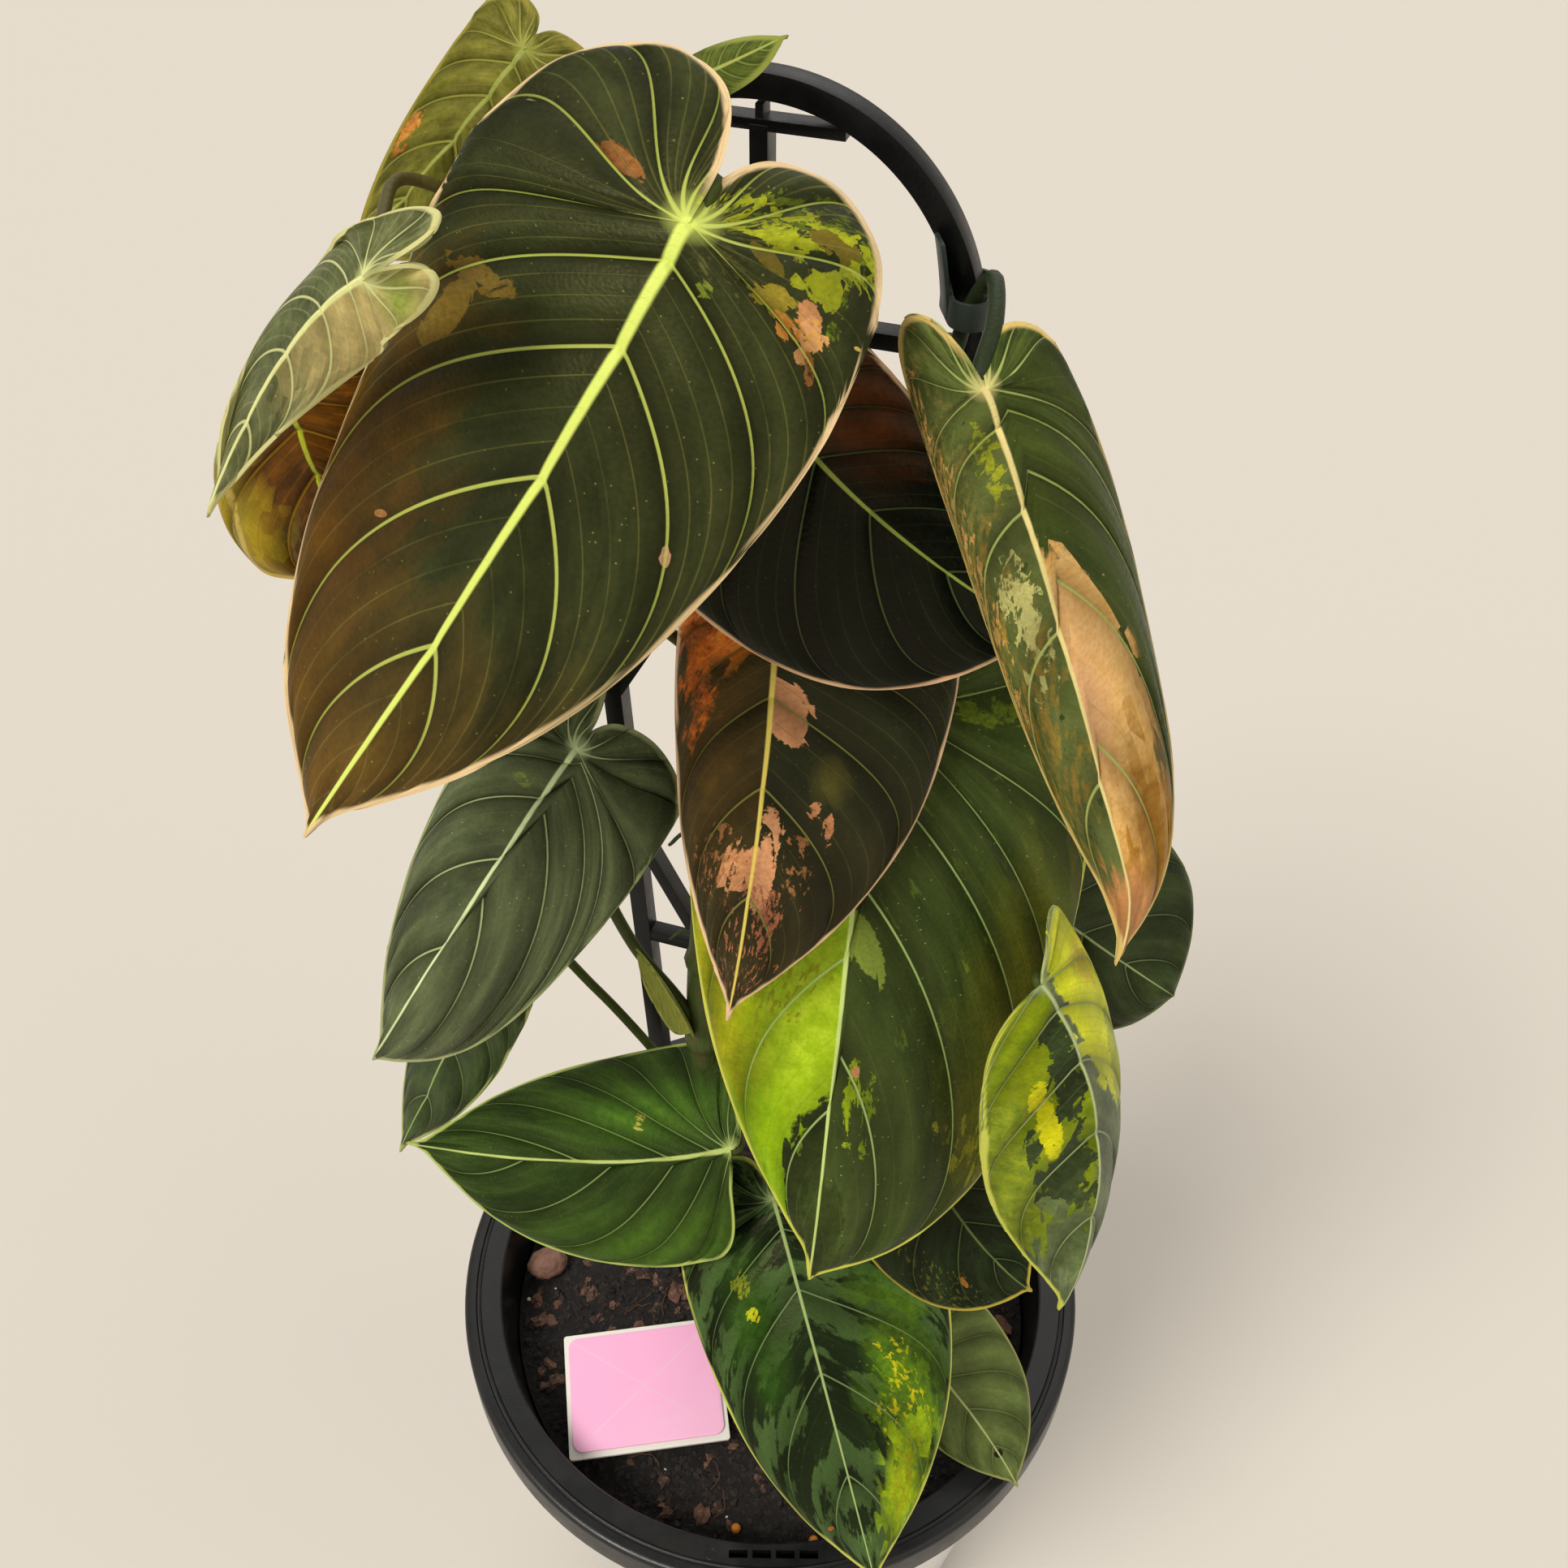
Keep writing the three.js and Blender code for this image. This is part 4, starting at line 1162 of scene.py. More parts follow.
@dataclass
class Leaf:
    """A leaf: its blade, and the petiole that starts in the stem and comes up behind the blade.

    joint: height on the stem where the petiole starts. stalk: points that it passes.
    thick: its radius. petiole: its material. sheathed: whether its foot is winged.
    """

    name: str
    slot: str
    blade: Blade
    look: Velvet
    joint: float
    stalk: tuple[Point, ...]
    thick: float
    petiole: str = "green"
    sheathed: bool = False

    def petiole_bars(self, stem: Stem) -> list[Piece]:
        """Builds the petiole, and the midrib's rib on the back of the blade.

        Args:
            stem: The stem that it starts from.

        Returns:
            The pieces.
        """
        places, forwards, ups, _ = self.blade.midrib(np.linspace(0, 0.93, 24))
        behind = places[0] - 1.3 * self.thick * ups[0] - 0.5 * self.thick * forwards[0]
        end = places[0] - 0.75 * self.thick * ups[0] + forwards[0] * self.blade.length * 0.05
        path = catmull([stem.at(self.joint), *self.stalk, behind, end], 64)
        along = np.linspace(0, 1, len(path))
        radii = self.thick * (1 + 0.35 * np.maximum(0, 1 - 5 * along) - 0.6 * np.maximum(0, 8 * along - 7))
        ribs = np.linspace(0.62 * self.thick, 0.22, len(places))
        spine = places - ups * (0.85 * ribs)[:, None]
        return [round_bar("petiole_bar", path, radii, 3), round_bar("rib_bar", spine, ribs, 1)]

    def build(self, stem: Stem, backs: dict[str, Paint], petioles: dict[str, Paint]) -> None:
        """Builds the leaf.

        Args:
            stem: The stem that it grows from.
            backs: The materials of the blades' backs, by slot.
            petioles: The materials of the petioles, by name.
        """
        front = self.look.make(self.blade.veins)
        parts = [self.blade.build(f"{self.name}_blade", front, backs[self.slot])]
        if self.sheathed:
            parts.append(SHEATH.build("sheath_blade", petioles["sheath"], petioles["sheath"]))
        for bar in self.petiole_bars(stem):
            dress(bar, [petioles[self.petiole]])
            parts.append(bar)
        leaf = joined(parts, f"{self.name}_leaf")
        belongs(leaf, self.slot, f"leaf_{self.name}")


# Olive velvet that ages to bronze, with lime marbling on one lobe
CROWN_LOOK = Velvet(
    "velvet_leaf_olive_to_bronze", "#1d230f", "#363b1e", "#dcec74", "#b4bf5c", "#7d7a3c", "#e4c898",
    tint="#664410", tint_run=(0.6, 1.15), width=(1.1, 0.38), faint=0.36,
    patches=(
        Patch(-34, 106, 16, 46, "#66440e", "#523810", 0.3, half=LEFT, soft=0.7),
        Patch(-29, 49, 3, 8, "#66501a", "#7c6626", 0.3, turn=10),
        Patch(-26.5, 37.5, 6.4, 2.8, "#66501a", "#75602a", 0.7, 0.75, turn=-14),
        Patch(16, -8.5, 12, 3.6, "#3c4a12", "#5c6a14", 0.9, 0.5, turn=-14),
        Patch(16, -5.6, 10.5, 3.4, "#7c8018", "#98a01c", 0.9, 0.78, turn=-4, grain=1.5),
        Patch(21.5, -3.2, 3.2, 5, "#84881a", "#98a01c", 0.8, 0.85, grain=1.5),
        Patch(19.8, -7.4, 3.4, 1.6, "#5f5218", "#6c6020", 0.6),
        Patch(12, -1, 3.2, 1, "#5f5218", "#6c6020", 0.6, turn=20),
        Patch(19, -4.6, 2.4, 1.7, "#1d230f", "#2a3216", 0.5),
        Patch(26, -1, 2.2, 7, "#3c4a12", "#6c7c18", 0.9, 0.4),
        Patch(16.4, 5.6, 4.4, 2.6, "#75681c", "#8a7a28", 0.6, 0.9, turn=-30),
        Patch(22, 5.6, 2.2, 4.4, "#b4805c", "#a87440", 0.5, turn=-20),
        Patch(21.2, 10.2, 3.6, 2.2, "#c08a34", "#b06c30", 0.9, 0.8, grain=1.6),
        Patch(23.6, 9.4, 1.8, 3.6, "#c8906c", "#c49438", 0.9, 0.9, grain=1.6),
        Patch(25.4, 14.6, 1.2, 5, "#8f5a20", "#a87040", 0.7, 0.85, turn=-22),
        Patch(30.4, 6, 0.6, 0.5, "#b0a050", "#c0a860", 0.3),
        Patch(6.2, 11.8, 1.3, 1.3, "#7c8a2a", "#5c6a22", 0.8, 0.7),
        Patch(7.5, 6, 3.2, 3.8, "#45461f", "#545028", 0.9, 0.4),
        Patch(-14, -4.1, 4.8, 1.5, "#704418", "#8f5c30", 0.25, turn=14),
        Patch(22.3, 58.1, 1.9, 1, "#c08a66", "#d8a888", 0.4, turn=60),
        Patch(-21.5, 86, 1.4, 0.7, "#a8703c", "#c08c5c", 0.4, turn=-40),
    ),
)
# A peach half without green beside a green one, and gold flecks
RIGHT_LONG_LOOK = Velvet(
    "velvet_leaf_green_and_peach", "#26340f", "#44501e", "#e8d890", "#a4b264", "#6c7a44", "#d8bc70",
    width=(0.55, 0.28),
    patches=(
        Patch(-12, 60, 16, 90, "#4c5828", "#5c6634", 0.2, 0.9, half=LEFT),
        Patch(-13, 40, 5, 46, "#8a7a34", "#74703a", 0.9, 0.4, half=LEFT, soft=0.3),
        Patch(-9, 84, 7, 34, "#94782e", "#7c6a2a", 0.9, 0.42, half=LEFT, soft=0.3),
        Patch(-6.5, 52, 3.4, 15, "#a8a460", "#bcb874", 0.8, 0.6, half=LEFT, grain=1.4),
        Patch(-3.8, 15, 2.2, 8, "#7c841c", "#989c28", 0.8, 0.6, half=LEFT, grain=1.6),
        Patch(-16.5, 55, 3.4, 62, "#b0803c", "#cca868", 0.9, 0.5, half=LEFT, grain=1.4),
        Patch(0, 92, 14.5, 53, "#c89a50", "#dcb474", 0.18, half=RIGHT),
        Patch(0.5, 70, 5, 15, "#d8a87c", "#cc9c64", 0.3, half=RIGHT, soft=0.6),
        Patch(8, 108, 9, 24, "#8f6018", "#ac7c2c", 0.6, half=RIGHT, turn=8, soft=0.4),
        Patch(0, 120, 8, 12, "#b47c50", "#a87440", 0.4, soft=0.3),
        Patch(21, 92, 4, 50, "#26340f", "#3a4a20", 0.4, 0.9, half=RIGHT),
    ),
)
# Velvet in the shade of other leaves, near black
DARK_BEHIND_LOOK = Velvet(
    "velvet_leaf_near_black", "#060a07", "#0f150f", "#9ca84c", "#4c5c34", "#343c24", "#dcb48c",
    width=(0.5, 0.22), faint=0.3,
    patches=(Patch(12, 14, 9, 17, "#3a1c08", "#52290f", 0.15, soft=0.4),),
)
# Bronze velvet with salmon splashes and a scorched orange shoulder
BRONZE_LOOK = Velvet(
    "velvet_leaf_bronze_and_salmon", "#181c10", "#282b1a", "#dcc860", "#747438", "#5f5a2c", "#e8c49c",
    tint="#33280f", tint_run=(0.4, 1.3), width=(0.62, 0.24), faint=0.3,
    patches=(
        Patch(-12, 32, 11, 36, "#4c3814", "#3e3014", 0.3, half=LEFT, soft=0.7),
        Patch(3.4, 26, 4.2, 7.4, "#cc9468", "#b88058", 0.35, half=RIGHT, turn=-16),
        Patch(11, 47.6, 1.3, 1.6, "#b88058", "#94603c", 0.7, 0.8, grain=2.0),
        Patch(14.4, 52, 1.1, 3.4, "#b88058", "#94603c", 0.7, 0.8, grain=2.0),
        Patch(13, 41, 3.4, 5, "#3c3c18", "#48441c", 0.5, soft=0.6),
        Patch(-2.6, 61.5, 3.2, 6.6, "#c48c60", "#a87048", 0.7, 0.8, half=LEFT, turn=16),
        Patch(-7.6, 62, 3.6, 7, "#a06c44", "#8a5a34", 0.9, 0.36, half=LEFT, grain=1.7),
        Patch(2, 61, 2.6, 11, "#cc9468", "#b88058", 0.6, 0.95, half=RIGHT),
        Patch(8.5, 62, 3.4, 7, "#a06c44", "#8a5a34", 0.9, 0.3, half=RIGHT, grain=1.7),
        Patch(1.5, 79, 5, 12, "#a8704a", "#945038", 0.9, 0.26, grain=1.5),
        Patch(4.6, 72, 2.4, 6, "#a86c48", "#8a4a38", 0.8, 0.55, grain=2.0),
        Patch(-13.5, 5, 10, 13, "#b44c10", "#dc8a34", 0.35, half=LEFT, soft=0.15),
        Patch(-15.5, 12, 4, 20, "#c46a20", "#8c3c10", 0.6, 0.7, half=LEFT, soft=0.2),
        Patch(-13, 3, 7, 8, "#e0984c", "#a03c10", 0.9, 0.45, half=LEFT, grain=1.6),
    ),
)
# Lime and deep green that meet at the midrib, with tiny pale dots of painted sparkle
HALFMOON_LOOK = Velvet(
    "velvet_leaf_green_and_lime", "#243112", "#3e4c20", "#c0d47c", "#98b468", "#5c7236", "#c8c854",
    width=(0.75, 0.3), painted_sparkle=0.5,
    patches=(
        Patch(44, 95, 14, 46, "#4a5018", "#605f1e", 0.3, soft=0.5),
        Patch(40, 122, 12, 6, "#8a8420", "#6c6c1c", 0.8, 0.4, grain=2.0, turn=40),
        Patch(24, 4, 11, 3, "#6a7a1f", "#465a18", 0.9, 0.5, turn=20),
        Patch(3.4, 65, 3, 10, "#66762a", "#748434", 0.5, half=RIGHT, turn=-24),
        Patch(4.6, 104, 1.4, 10, "#7c9410", "#98ac18", 0.9, 0.5, half=RIGHT, grain=1.5),
        Patch(9, 107, 1.3, 8, "#748c14", "#5c7418", 0.9, 0.5, half=RIGHT, grain=1.5),
        Patch(5, 97, 0.9, 1.8, "#d09c6c", "#b8784c", 0.3),
        Patch(26, 60, 26, 46, "#3c4c1a", "#54661f", 0.9, 0.12, half=RIGHT),
        Patch(-24, 66, 60, 110, "#688c06", "#92b40a", 0.05, half=LEFT),
        Patch(-30, 84, 12, 30, "#78800a", "#9c9814", 0.3, half=LEFT, soft=0.5),
        Patch(-8, 78, 9, 24, "#a8c028", "#88a40e", 0.3, half=LEFT, soft=0.6),
        Patch(-24, 72, 14, 16, "#8c8c14", "#7c8c0c", 0.8, 0.45, half=LEFT, grain=2.4),
        Patch(0.5, 125, 9.4, 21, "#1c280c", "#2c3814", 0.35, half=LEFT),
        Patch(0, 140, 7, 14, "#22300e", "#343f18", 0.3),
        Patch(-5.6, 118, 0.9, 2.4, "#5c7418", "#748c1c", 0.6, 0.8),
    ),
)
# Grey-green velvet that looks dusted, from tiny pale dots of painted sparkle
LEFT_MID_LOOK = Velvet(
    "velvet_leaf_grey_green", "#363f2a", "#5c6642", "#d8e8b0", "#b0bc88", "#68764e", "#a0a874",
    width=(0.6, 0.26), faint=0.26, painted_sparkle=0.35, vein_shade=0.48,
    patches=(Patch(-6, 22, 1.6, 2, "#5c6c30", "#748040", 0.8, 0.6),),
)
# Deep green, fresher where it folds
LEFT_LOW_LOOK = Velvet(
    "velvet_leaf_deep_green", "#172a0c", "#324618", "#b8c874", "#7c9454", "#50642f", "#a8b860",
    width=(0.7, 0.26),
    patches=(
        Patch(24, 30, 9, 26, "#2e4c10", "#405c16", 0.2, half=RIGHT, soft=0.7),
        Patch(-12, 30, 6, 26, "#325412", "#44661c", 0.3, half=LEFT, soft=0.8),
        Patch(-10.6, 33, 2, 1.4, "#a8a040", "#8a8a3c", 0.9, 0.5, grain=2.0),
    ),
)
# A plain leaf in soft green
LEFT_SMALL_LOOK = Velvet(
    "velvet_leaf_soft_green", "#24331a", "#40502a", "#90a468", "#647a4a", "#485c34", "#a4ac68",
    width=(0.45, 0.22),
)
# Marbled in two greens along its veins, with gold flecks and a lime edge
FRONT_LOW_LOOK = Velvet(
    "velvet_leaf_marbled_green", "#111f0c", "#3a5028", "#9cb070", "#6c8450", "#4c6434", "#bcc058",
    width=(0.5, 0.24), mottle=1.0,
    patches=(
        Patch(-14, 34, 6, 20, "#1c3c08", "#2e5012", 0.3, soft=0.7),
        Patch(-14.8, 22, 2.2, 3.6, "#747c10", "#8c9418", 0.7, 0.6, grain=2.0),
        Patch(-13.6, 31, 1.3, 1.8, "#9ca010", "#b4b420", 0.9, 0.7, grain=1.8),
        Patch(22, 56, 9, 22, "#2c4c10", "#547414", 0.6, half=RIGHT, soft=0.6),
        Patch(22, 70, 8, 18, "#3c5c0c", "#587410", 0.7, 0.6, half=RIGHT, grain=1.6),
        Patch(20, 67, 5, 14, "#98980c", "#b8ac14", 0.9, 0.36, half=RIGHT, grain=2.2),
        Patch(15, 90, 6.6, 19, "#64841a", "#a0b810", 0.6, half=RIGHT, turn=22, soft=0.3),
        Patch(15, 88, 3, 11, "#98a010", "#84880c", 0.7, 0.6, half=RIGHT, grain=1.6, turn=22),
        Patch(-8.2, 95.8, 0.8, 0.6, "#b8642a", "#a8581c", 0.2),
    ),
)
# A plain olive leaf, smooth and even
RIGHT_SMALL_LOOK = Velvet(
    "velvet_leaf_plain_olive", "#444f26", "#5e6e3a", "#a4ac70", "#6c7848", "#5a6638", "#8c9050",
    width=(0.45, 0.22), mottle=0.1,
    patches=(Patch(0, 43.5, 1.2, 1.2, "#14140c", "#1c1a10", 0.1),),
)
# Black-green, with a gold edge
RIGHT_DARK_LOOK = Velvet(
    "velvet_leaf_dark_with_gold_edge", "#0d150a", "#1d2a15", "#5a6838", "#4c5c34", "#2c3c1c", "#a8983c",
    width=(0.45, 0.22),
    patches=(
        Patch(-17, 36, 6, 12, "#3c481a", "#5c5818", 0.9, 0.3, half=LEFT, grain=2.0),
        Patch(-10, 36, 0.7, 1.5, "#a8702c", "#905420", 0.4),
    ),
)
# Sharp-edged blocks of yellow, lime and grey-green
VARIEGATED_LOOK = Velvet(
    "velvet_leaf_yellow_lime_and_grey", "#3c4a2e", "#68744c", "#a8b480", "#8c9c68", "#68764e", "#c0c454",
    width=(0.5, 0.26), faint=0.25, mottle=0.5, painted_sparkle=0.3,
    patches=(
        Patch(-15, 40, 18, 62, "#566a08", "#7c880a", 0.3, half=LEFT),
        Patch(-19, 66, 7, 34, "#5c7014", "#84901c", 0.6, 0.75, half=LEFT),
        Patch(-10, 43, 3.2, 15, "#a8a808", "#c4c010", 0.5, 0.9, half=LEFT),
        Patch(-14, 50, 1.8, 8, "#1f2c14", "#303e20", 0.7, 0.8, half=LEFT),
        Patch(-4, 27, 3.2, 19, "#1f2c14", "#303e20", 0.6, 0.95, half=LEFT, turn=6),
        Patch(-7.4, 60, 6.4, 12, "#26341a", "#3a4824", 0.6, 0.9, half=LEFT),
        Patch(-9, 70, 3, 3, "#5c6c38", "#68784a", 0.5, half=LEFT),
        Patch(-5, 82, 7, 12, "#46542f", "#5c6a40", 0.6, 0.9, half=LEFT),
        Patch(20, 14, 18, 36, "#b0b814", "#ccce1c", 0.18, half=RIGHT),
        Patch(19, 9, 6, 7, "#aca014", "#bcac1c", 0.6, half=RIGHT, soft=0.5),
        Patch(21, 42, 9, 14, "#8c9c28", "#a8ac3c", 0.35, half=RIGHT),
    ),
)
# A plain leaf in the shade, dull
RIGHT_BACK_LOOK = Velvet(
    "velvet_leaf_shaded_green", "#1c2912", "#33411f", "#94a068", "#6a7a50", "#445432", "#5c683c",
    width=(0.45, 0.22),
)
# Young, olive gold, with one rusty scar
BACK_UPPER_LOOK = Velvet(
    "young_leaf_olive_gold", "#4c4a14", "#7c7a30", "#98a04c", "#989848", "#7c7a38", "#948a34",
    width=(0.42, 0.24), mottle=0.4,
    patches=(
        Patch(-10, 34, 3.4, 22, "#4c4c0c", "#5c5c10", 0.3, half=LEFT, soft=0.6),
        Patch(-7.8, 26, 1.3, 3.8, "#8f4c14", "#c88c3c", 0.6, 0.9, grain=2.0, turn=-8),
    ),
)
# Young, glowing copper that turns yellow at one edge
COPPER_LOOK = Velvet(
    "young_leaf_copper", "#3c2203", "#6a3e06", "#a8b030", "#a07c24", "#845f14", "#b8a04c",
    width=(0.55, 0.3), faint=0.35, mottle=0.6,
    patches=(Patch(-26, 30, 12, 14, "#94800c", "#a89418", 0.3, soft=0.6),),
)
# Young, silvery on one half and pinkish straw on the other
CURLY_LOOK = Velvet(
    "young_leaf_silver_and_pink", "#3a4020", "#70744c", "#e0e49c", "#c4c888", "#94986c", "#d0cc8c",
    width=(0.5, 0.26), faint=0.4, edge=0.45, vein_shade=0.8,
    patches=(
        Patch(8, 4, 14, 26, "#9c8c58", "#b4a468", 0.3, half=RIGHT, soft=0.4),
        Patch(-5, 22, 5, 20, "#3c4420", "#5a6238", 0.5, half=LEFT, soft=0.6),
        Patch(4, -4, 4, 2.4, "#6c7c24", "#808c3c", 0.3, half=RIGHT, soft=0.9),
    ),
)
# Young, a plain fresh green
TOP_SMALL_LOOK = Velvet(
    "young_leaf_fresh_green", "#3c4a18", "#5c6828", "#a4ac58", "#74803c", "#687430", "#8c9444",
    width=(0.3, 0.16),
)

LEAVES: tuple[Leaf, ...] = (
    Leaf("crown", "leaf_dark", Blade(
        (-12, -44, 569), (-39, -58, 528), (-86, -62, 459), (-0.1, -1, 1), half=(42, 33),
        lobe=(0.17, 0.12), full=(0.3, 0.05), fold=(-4, -4), roll=(18, 18), curl=(-6, -8), wave=0.8,
        rows=14, columns=34, quilt=1.2, ridge=0.7,
    ), CROWN_LOOK, 549, ((-8, -26, 562), (-9, -38, 572)), 1.9),
    # Its petiole takes the dark petiole material: painted shade
    Leaf("right_long", "leaf_half_cream", Blade(
        (33, -48, 545), (51, -57, 498), (75, -61, 427), (0.1, -1, 0.5), half=(18, 25),
        lobe=(0.1, 0.05), gape=0.1, full=(0.1, 0.3), slim=(0, 0.3), fold=(-38, -12), roll=(40, 50),
        curl=(-5, -5), hook=-6, rows=12, columns=24, quilt=1.5, lean=(0, 12), sweep=(1.6, 2.1),
    ), RIGHT_LONG_LOOK, 480, (
        (14, -16.5, 503), (29, -17.5, 527), (33.6, -16.8, 543), (36, -23, 551), (35, -37, 550),
    ), 1.5, petiole="dark"),
    Leaf("dark_behind", "leaf_dark", Blade(
        (-1, -30, 533), (20, -35, 511), (51, -37, 488), (-0.1, -1, 0.7), half=(36, 20),
        lobe=(0.12, 0.12), full=(0.2, 0.2),
    ), DARK_BEHIND_LOOK, 512, ((-4, -22, 524),), 1.6),
    Leaf("bronze_centre", "leaf_dark", Blade(
        (1, -30, 491), (-2, -46, 451), (-9, -56, 398), (0.1, -1, 0.7), half=(21, 39),
        lobe=(0.13, 0.13), fold=(-20, -5), rows=12, columns=28,
    ), BRONZE_LOOK, 470, ((-5, -20, 482),), 1.6),
    Leaf("large_halfmoon", "leaf_half_lime", Blade(
        (21, -22, 461), (16, -48, 398), (10, -72, 317), (0.05, -1, 0.8), half=(38, 54),
        lobe=(0.13, 0.13), full=(-0.05, 0.42), curl=(5, 4), rows=14, columns=34, lean=(0, 8),
        sweep=(1.6, 2.3),
    ), HALFMOON_LOOK, 398, ((-3, -16.5, 416), (14, -17, 442)), 1.9),
    Leaf("left_mid", "leaf_green", Blade(
        (-41, -22, 445), (-63, -30, 412), (-99, -30, 347), (-0.1, -1, 0.7), half=(22, 28),
        lobe=(0.14, 0.09), full=(0.05, 0.42), roll=(25, 25), rows=12,
        quilt=1.8, lean=(6, 16), sweep=(1.7, 3.0),
    ), LEFT_MID_LOOK, 332, ((-24, -12, 350), (-34, -13, 372), (-42, -14, 405)), 1.5, sheathed=True),
    Leaf("left_low", "leaf_green", Blade(
        (-10, -34, 315), (-51, -26, 296), (-105, -10, 280), (-0.1, -0.8, 1), half=(31, 31),
        lobe=(0.04, -0.15), full=(0.05, 0), roll=(25, 25), rows=12, lean=(30, 14),
        sweep=(3.0, 1.8), quilt=1.4,
    ), LEFT_LOW_LOOK, 302, ((-12, -21, 310),), 1.6),
    Leaf("left_small", "leaf_green", Blade(
        (-75, 2, 348), (-91, 0, 308), (-111, -2, 263), (-0.5, -1, 0.6), half=(18, 16),
        roll=(25, 25), rows=8, columns=16,
    ), LEFT_SMALL_LOOK, 286, ((-25, -3, 300), (-48, 6, 331), (-66, 9, 352)), 1.3),
    Leaf("front_low", "leaf_green", Blade(
        (1, -34, 291), (16, -72, 255), (31, -103, 203), (0.1, -1, 0.9), half=(31, 43),
        lobe=(0.12, 0.12), rows=12, columns=28, quilt=1.2,
    ), FRONT_LOW_LOOK, 240, ((-4, -22, 256), (-1, -30, 278)), 1.6),
    Leaf("low_right_small", "leaf_green", Blade(
        (41, -48, 238), (60, -60, 217), (74, -72, 197), (0.2, -1, 1), half=(17, 24), fold=(-8, -8),
        rows=8, columns=18,
    ), RIGHT_SMALL_LOOK, 206, ((10, -22, 216), (32, -38, 236)), 1.3),
    Leaf("low_right_dark", "leaf_green", Blade(
        (36, -36, 325), (52, -50, 303), (68, -62, 294), (0.1, -1, 0.9), half=(27, 20),
        lobe=(0.12, 0.12), full=(0.1, 0.1), rows=8, columns=18,
    ), RIGHT_DARK_LOOK, 294, ((5, -14.5, 305), (27, -22, 321)), 1.4),
    Leaf("right_variegated", "leaf_half_lime", Blade(
        (57, -56, 411), (73, -68, 368), (71, -76, 311), (0.35, -1, 0.6), half=(25, 25),
        lobe=(-0.35, 0.08), gape=0.5, full=(0.1, 0), fold=(-15, -38), curl=(0, 5), rows=12,
        quilt=1.4,
    ), VARIEGATED_LOOK, 316, ((20, -19, 330), (52, -30, 352), (69, -38, 384), (62, -46, 403)), 1.2),
    Leaf("right_back", "leaf_green", Blade(
        (54, -18, 403), (77, -17, 380), (101, -16, 358), (0.2, -1, 0.7), half=(24, 34),
        full=(0.45, 0.45), rows=10, columns=20,
    ), RIGHT_BACK_LOOK, 364, ((8, -16.5, 378), (38, -15.5, 400)), 1.4),
    Leaf("back_upper_left", "leaf_young", Blade(
        (-39, -8, 581), (-53, -12, 566), (-72, -14, 548), (-0.3, -1, 0.6), half=(12, 18),
        lobe=(0.12, 0.12), rows=8, columns=16,
    ), BACK_UPPER_LOOK, 530, ((-20, -6, 556), (-32, -2, 575)), 1.2),
    Leaf("copper", "leaf_young", Blade(
        (-82, -30, 535), (-79, -30, 515), (-76, -30, 489), (-0.1, -1, 0.6), half=(23, 20),
        lobe=(-0.35, 0.1), full=(0.2, 0), rows=10, columns=20,
        pulls=((0.68, 0.08, 3.5, 4.0), (0.45, 0.14, -3.5, 0)),
    ), COPPER_LOOK, 456, ((-32, -17, 484), (-66, -20, 524)), 1.2, petiole="young"),
    Leaf("curly", "leaf_young", Blade(
        (-56, -60, 568), (-73, -54, 551), (-93, -48, 520), (-0.3, -1, 0.4), half=(10, 9),
        lobe=(0.2, 0.15), full=(0, -0.2), fold=(-30, -5), wave=2, rows=10, columns=18, quilt=0.4,
    ), CURLY_LOOK, 541, (
        (-24, -16, 552), (-42, -21.5, 560), (-56.5, -26.5, 568), (-57, -42, 569),
    ), 1.0, petiole="young"),
    Leaf("top_small", "leaf_young", Blade(
        (-11, -22, 582), (-5, -20, 584), (2, -16, 586), (-0.2, -1, 0.8), half=(4, 4),
        rows=5, columns=8, quilt=0.2, ridge=0.2, uneven=0.2,
    ), TOP_SMALL_LOOK, 554, ((-13, -15, 572),), 1.0, petiole="young"),
)


@dataclass
class Plant:
    """The philodendron: its stem and its leaves."""

    stem: Stem = field(default_factory=Stem)
    leaves: tuple[Leaf, ...] = LEAVES

    def build(self) -> None:
        """Builds the stem and every leaf."""
        self.stem.build([leaf.joint for leaf in self.leaves])
        # Backs without velvet: dull, greyer than the face, and bronze, pale or gold as the leaf is
        green = Underside("dull_leaf_back_green", "#4c5f3c", "#5f6a48", "#8a9c68")
        bronze = Underside("dull_leaf_back_bronze", "#5a4a34", "#4f5534", "#8f8f5a")
        pale = Underside("dull_leaf_back_pale", "#6f8444", "#8a8f54", "#a8b472")
        young = Underside("dull_leaf_back_young", "#7d8250", "#8f7a4c", "#b0b474")
        veins = self.leaves[0].blade.veins
        backs = {
            "leaf_dark": bronze.make(veins), "leaf_half_cream": pale.make(veins),
            "leaf_half_lime": pale.make(veins), "leaf_green": green.make(veins),
            "leaf_young": young.make(veins),
        }
        # Petioles are waxy with hardly a scar, and the sheath is as thin and yellow as paper
        petioles = {
            "green": Bark("waxy_green_petiole", "#4a5420", "#323c14", "#5c5030", corky=0.1).make(),
            # The dark petiole is the green one with painted shade in its colour, for a petiole that stands
            # in shade
            "dark": Bark("waxy_petiole_in_painted_shade", "#2e3a22", "#222b18", "#3c3424", corky=0.1).make(),
            "young": Bark("waxy_young_petiole", "#5c5428", "#463e1c", "#6a5430", corky=0.15).make(),
            "sheath": Bark("papery_yellow_sheath", "#a8a850", "#7f8a3c", "#7a5a34", corky=0.25).make(),
        }
        for leaf in self.leaves:
            leaf.build(self.stem, backs, petioles)


# Trellis


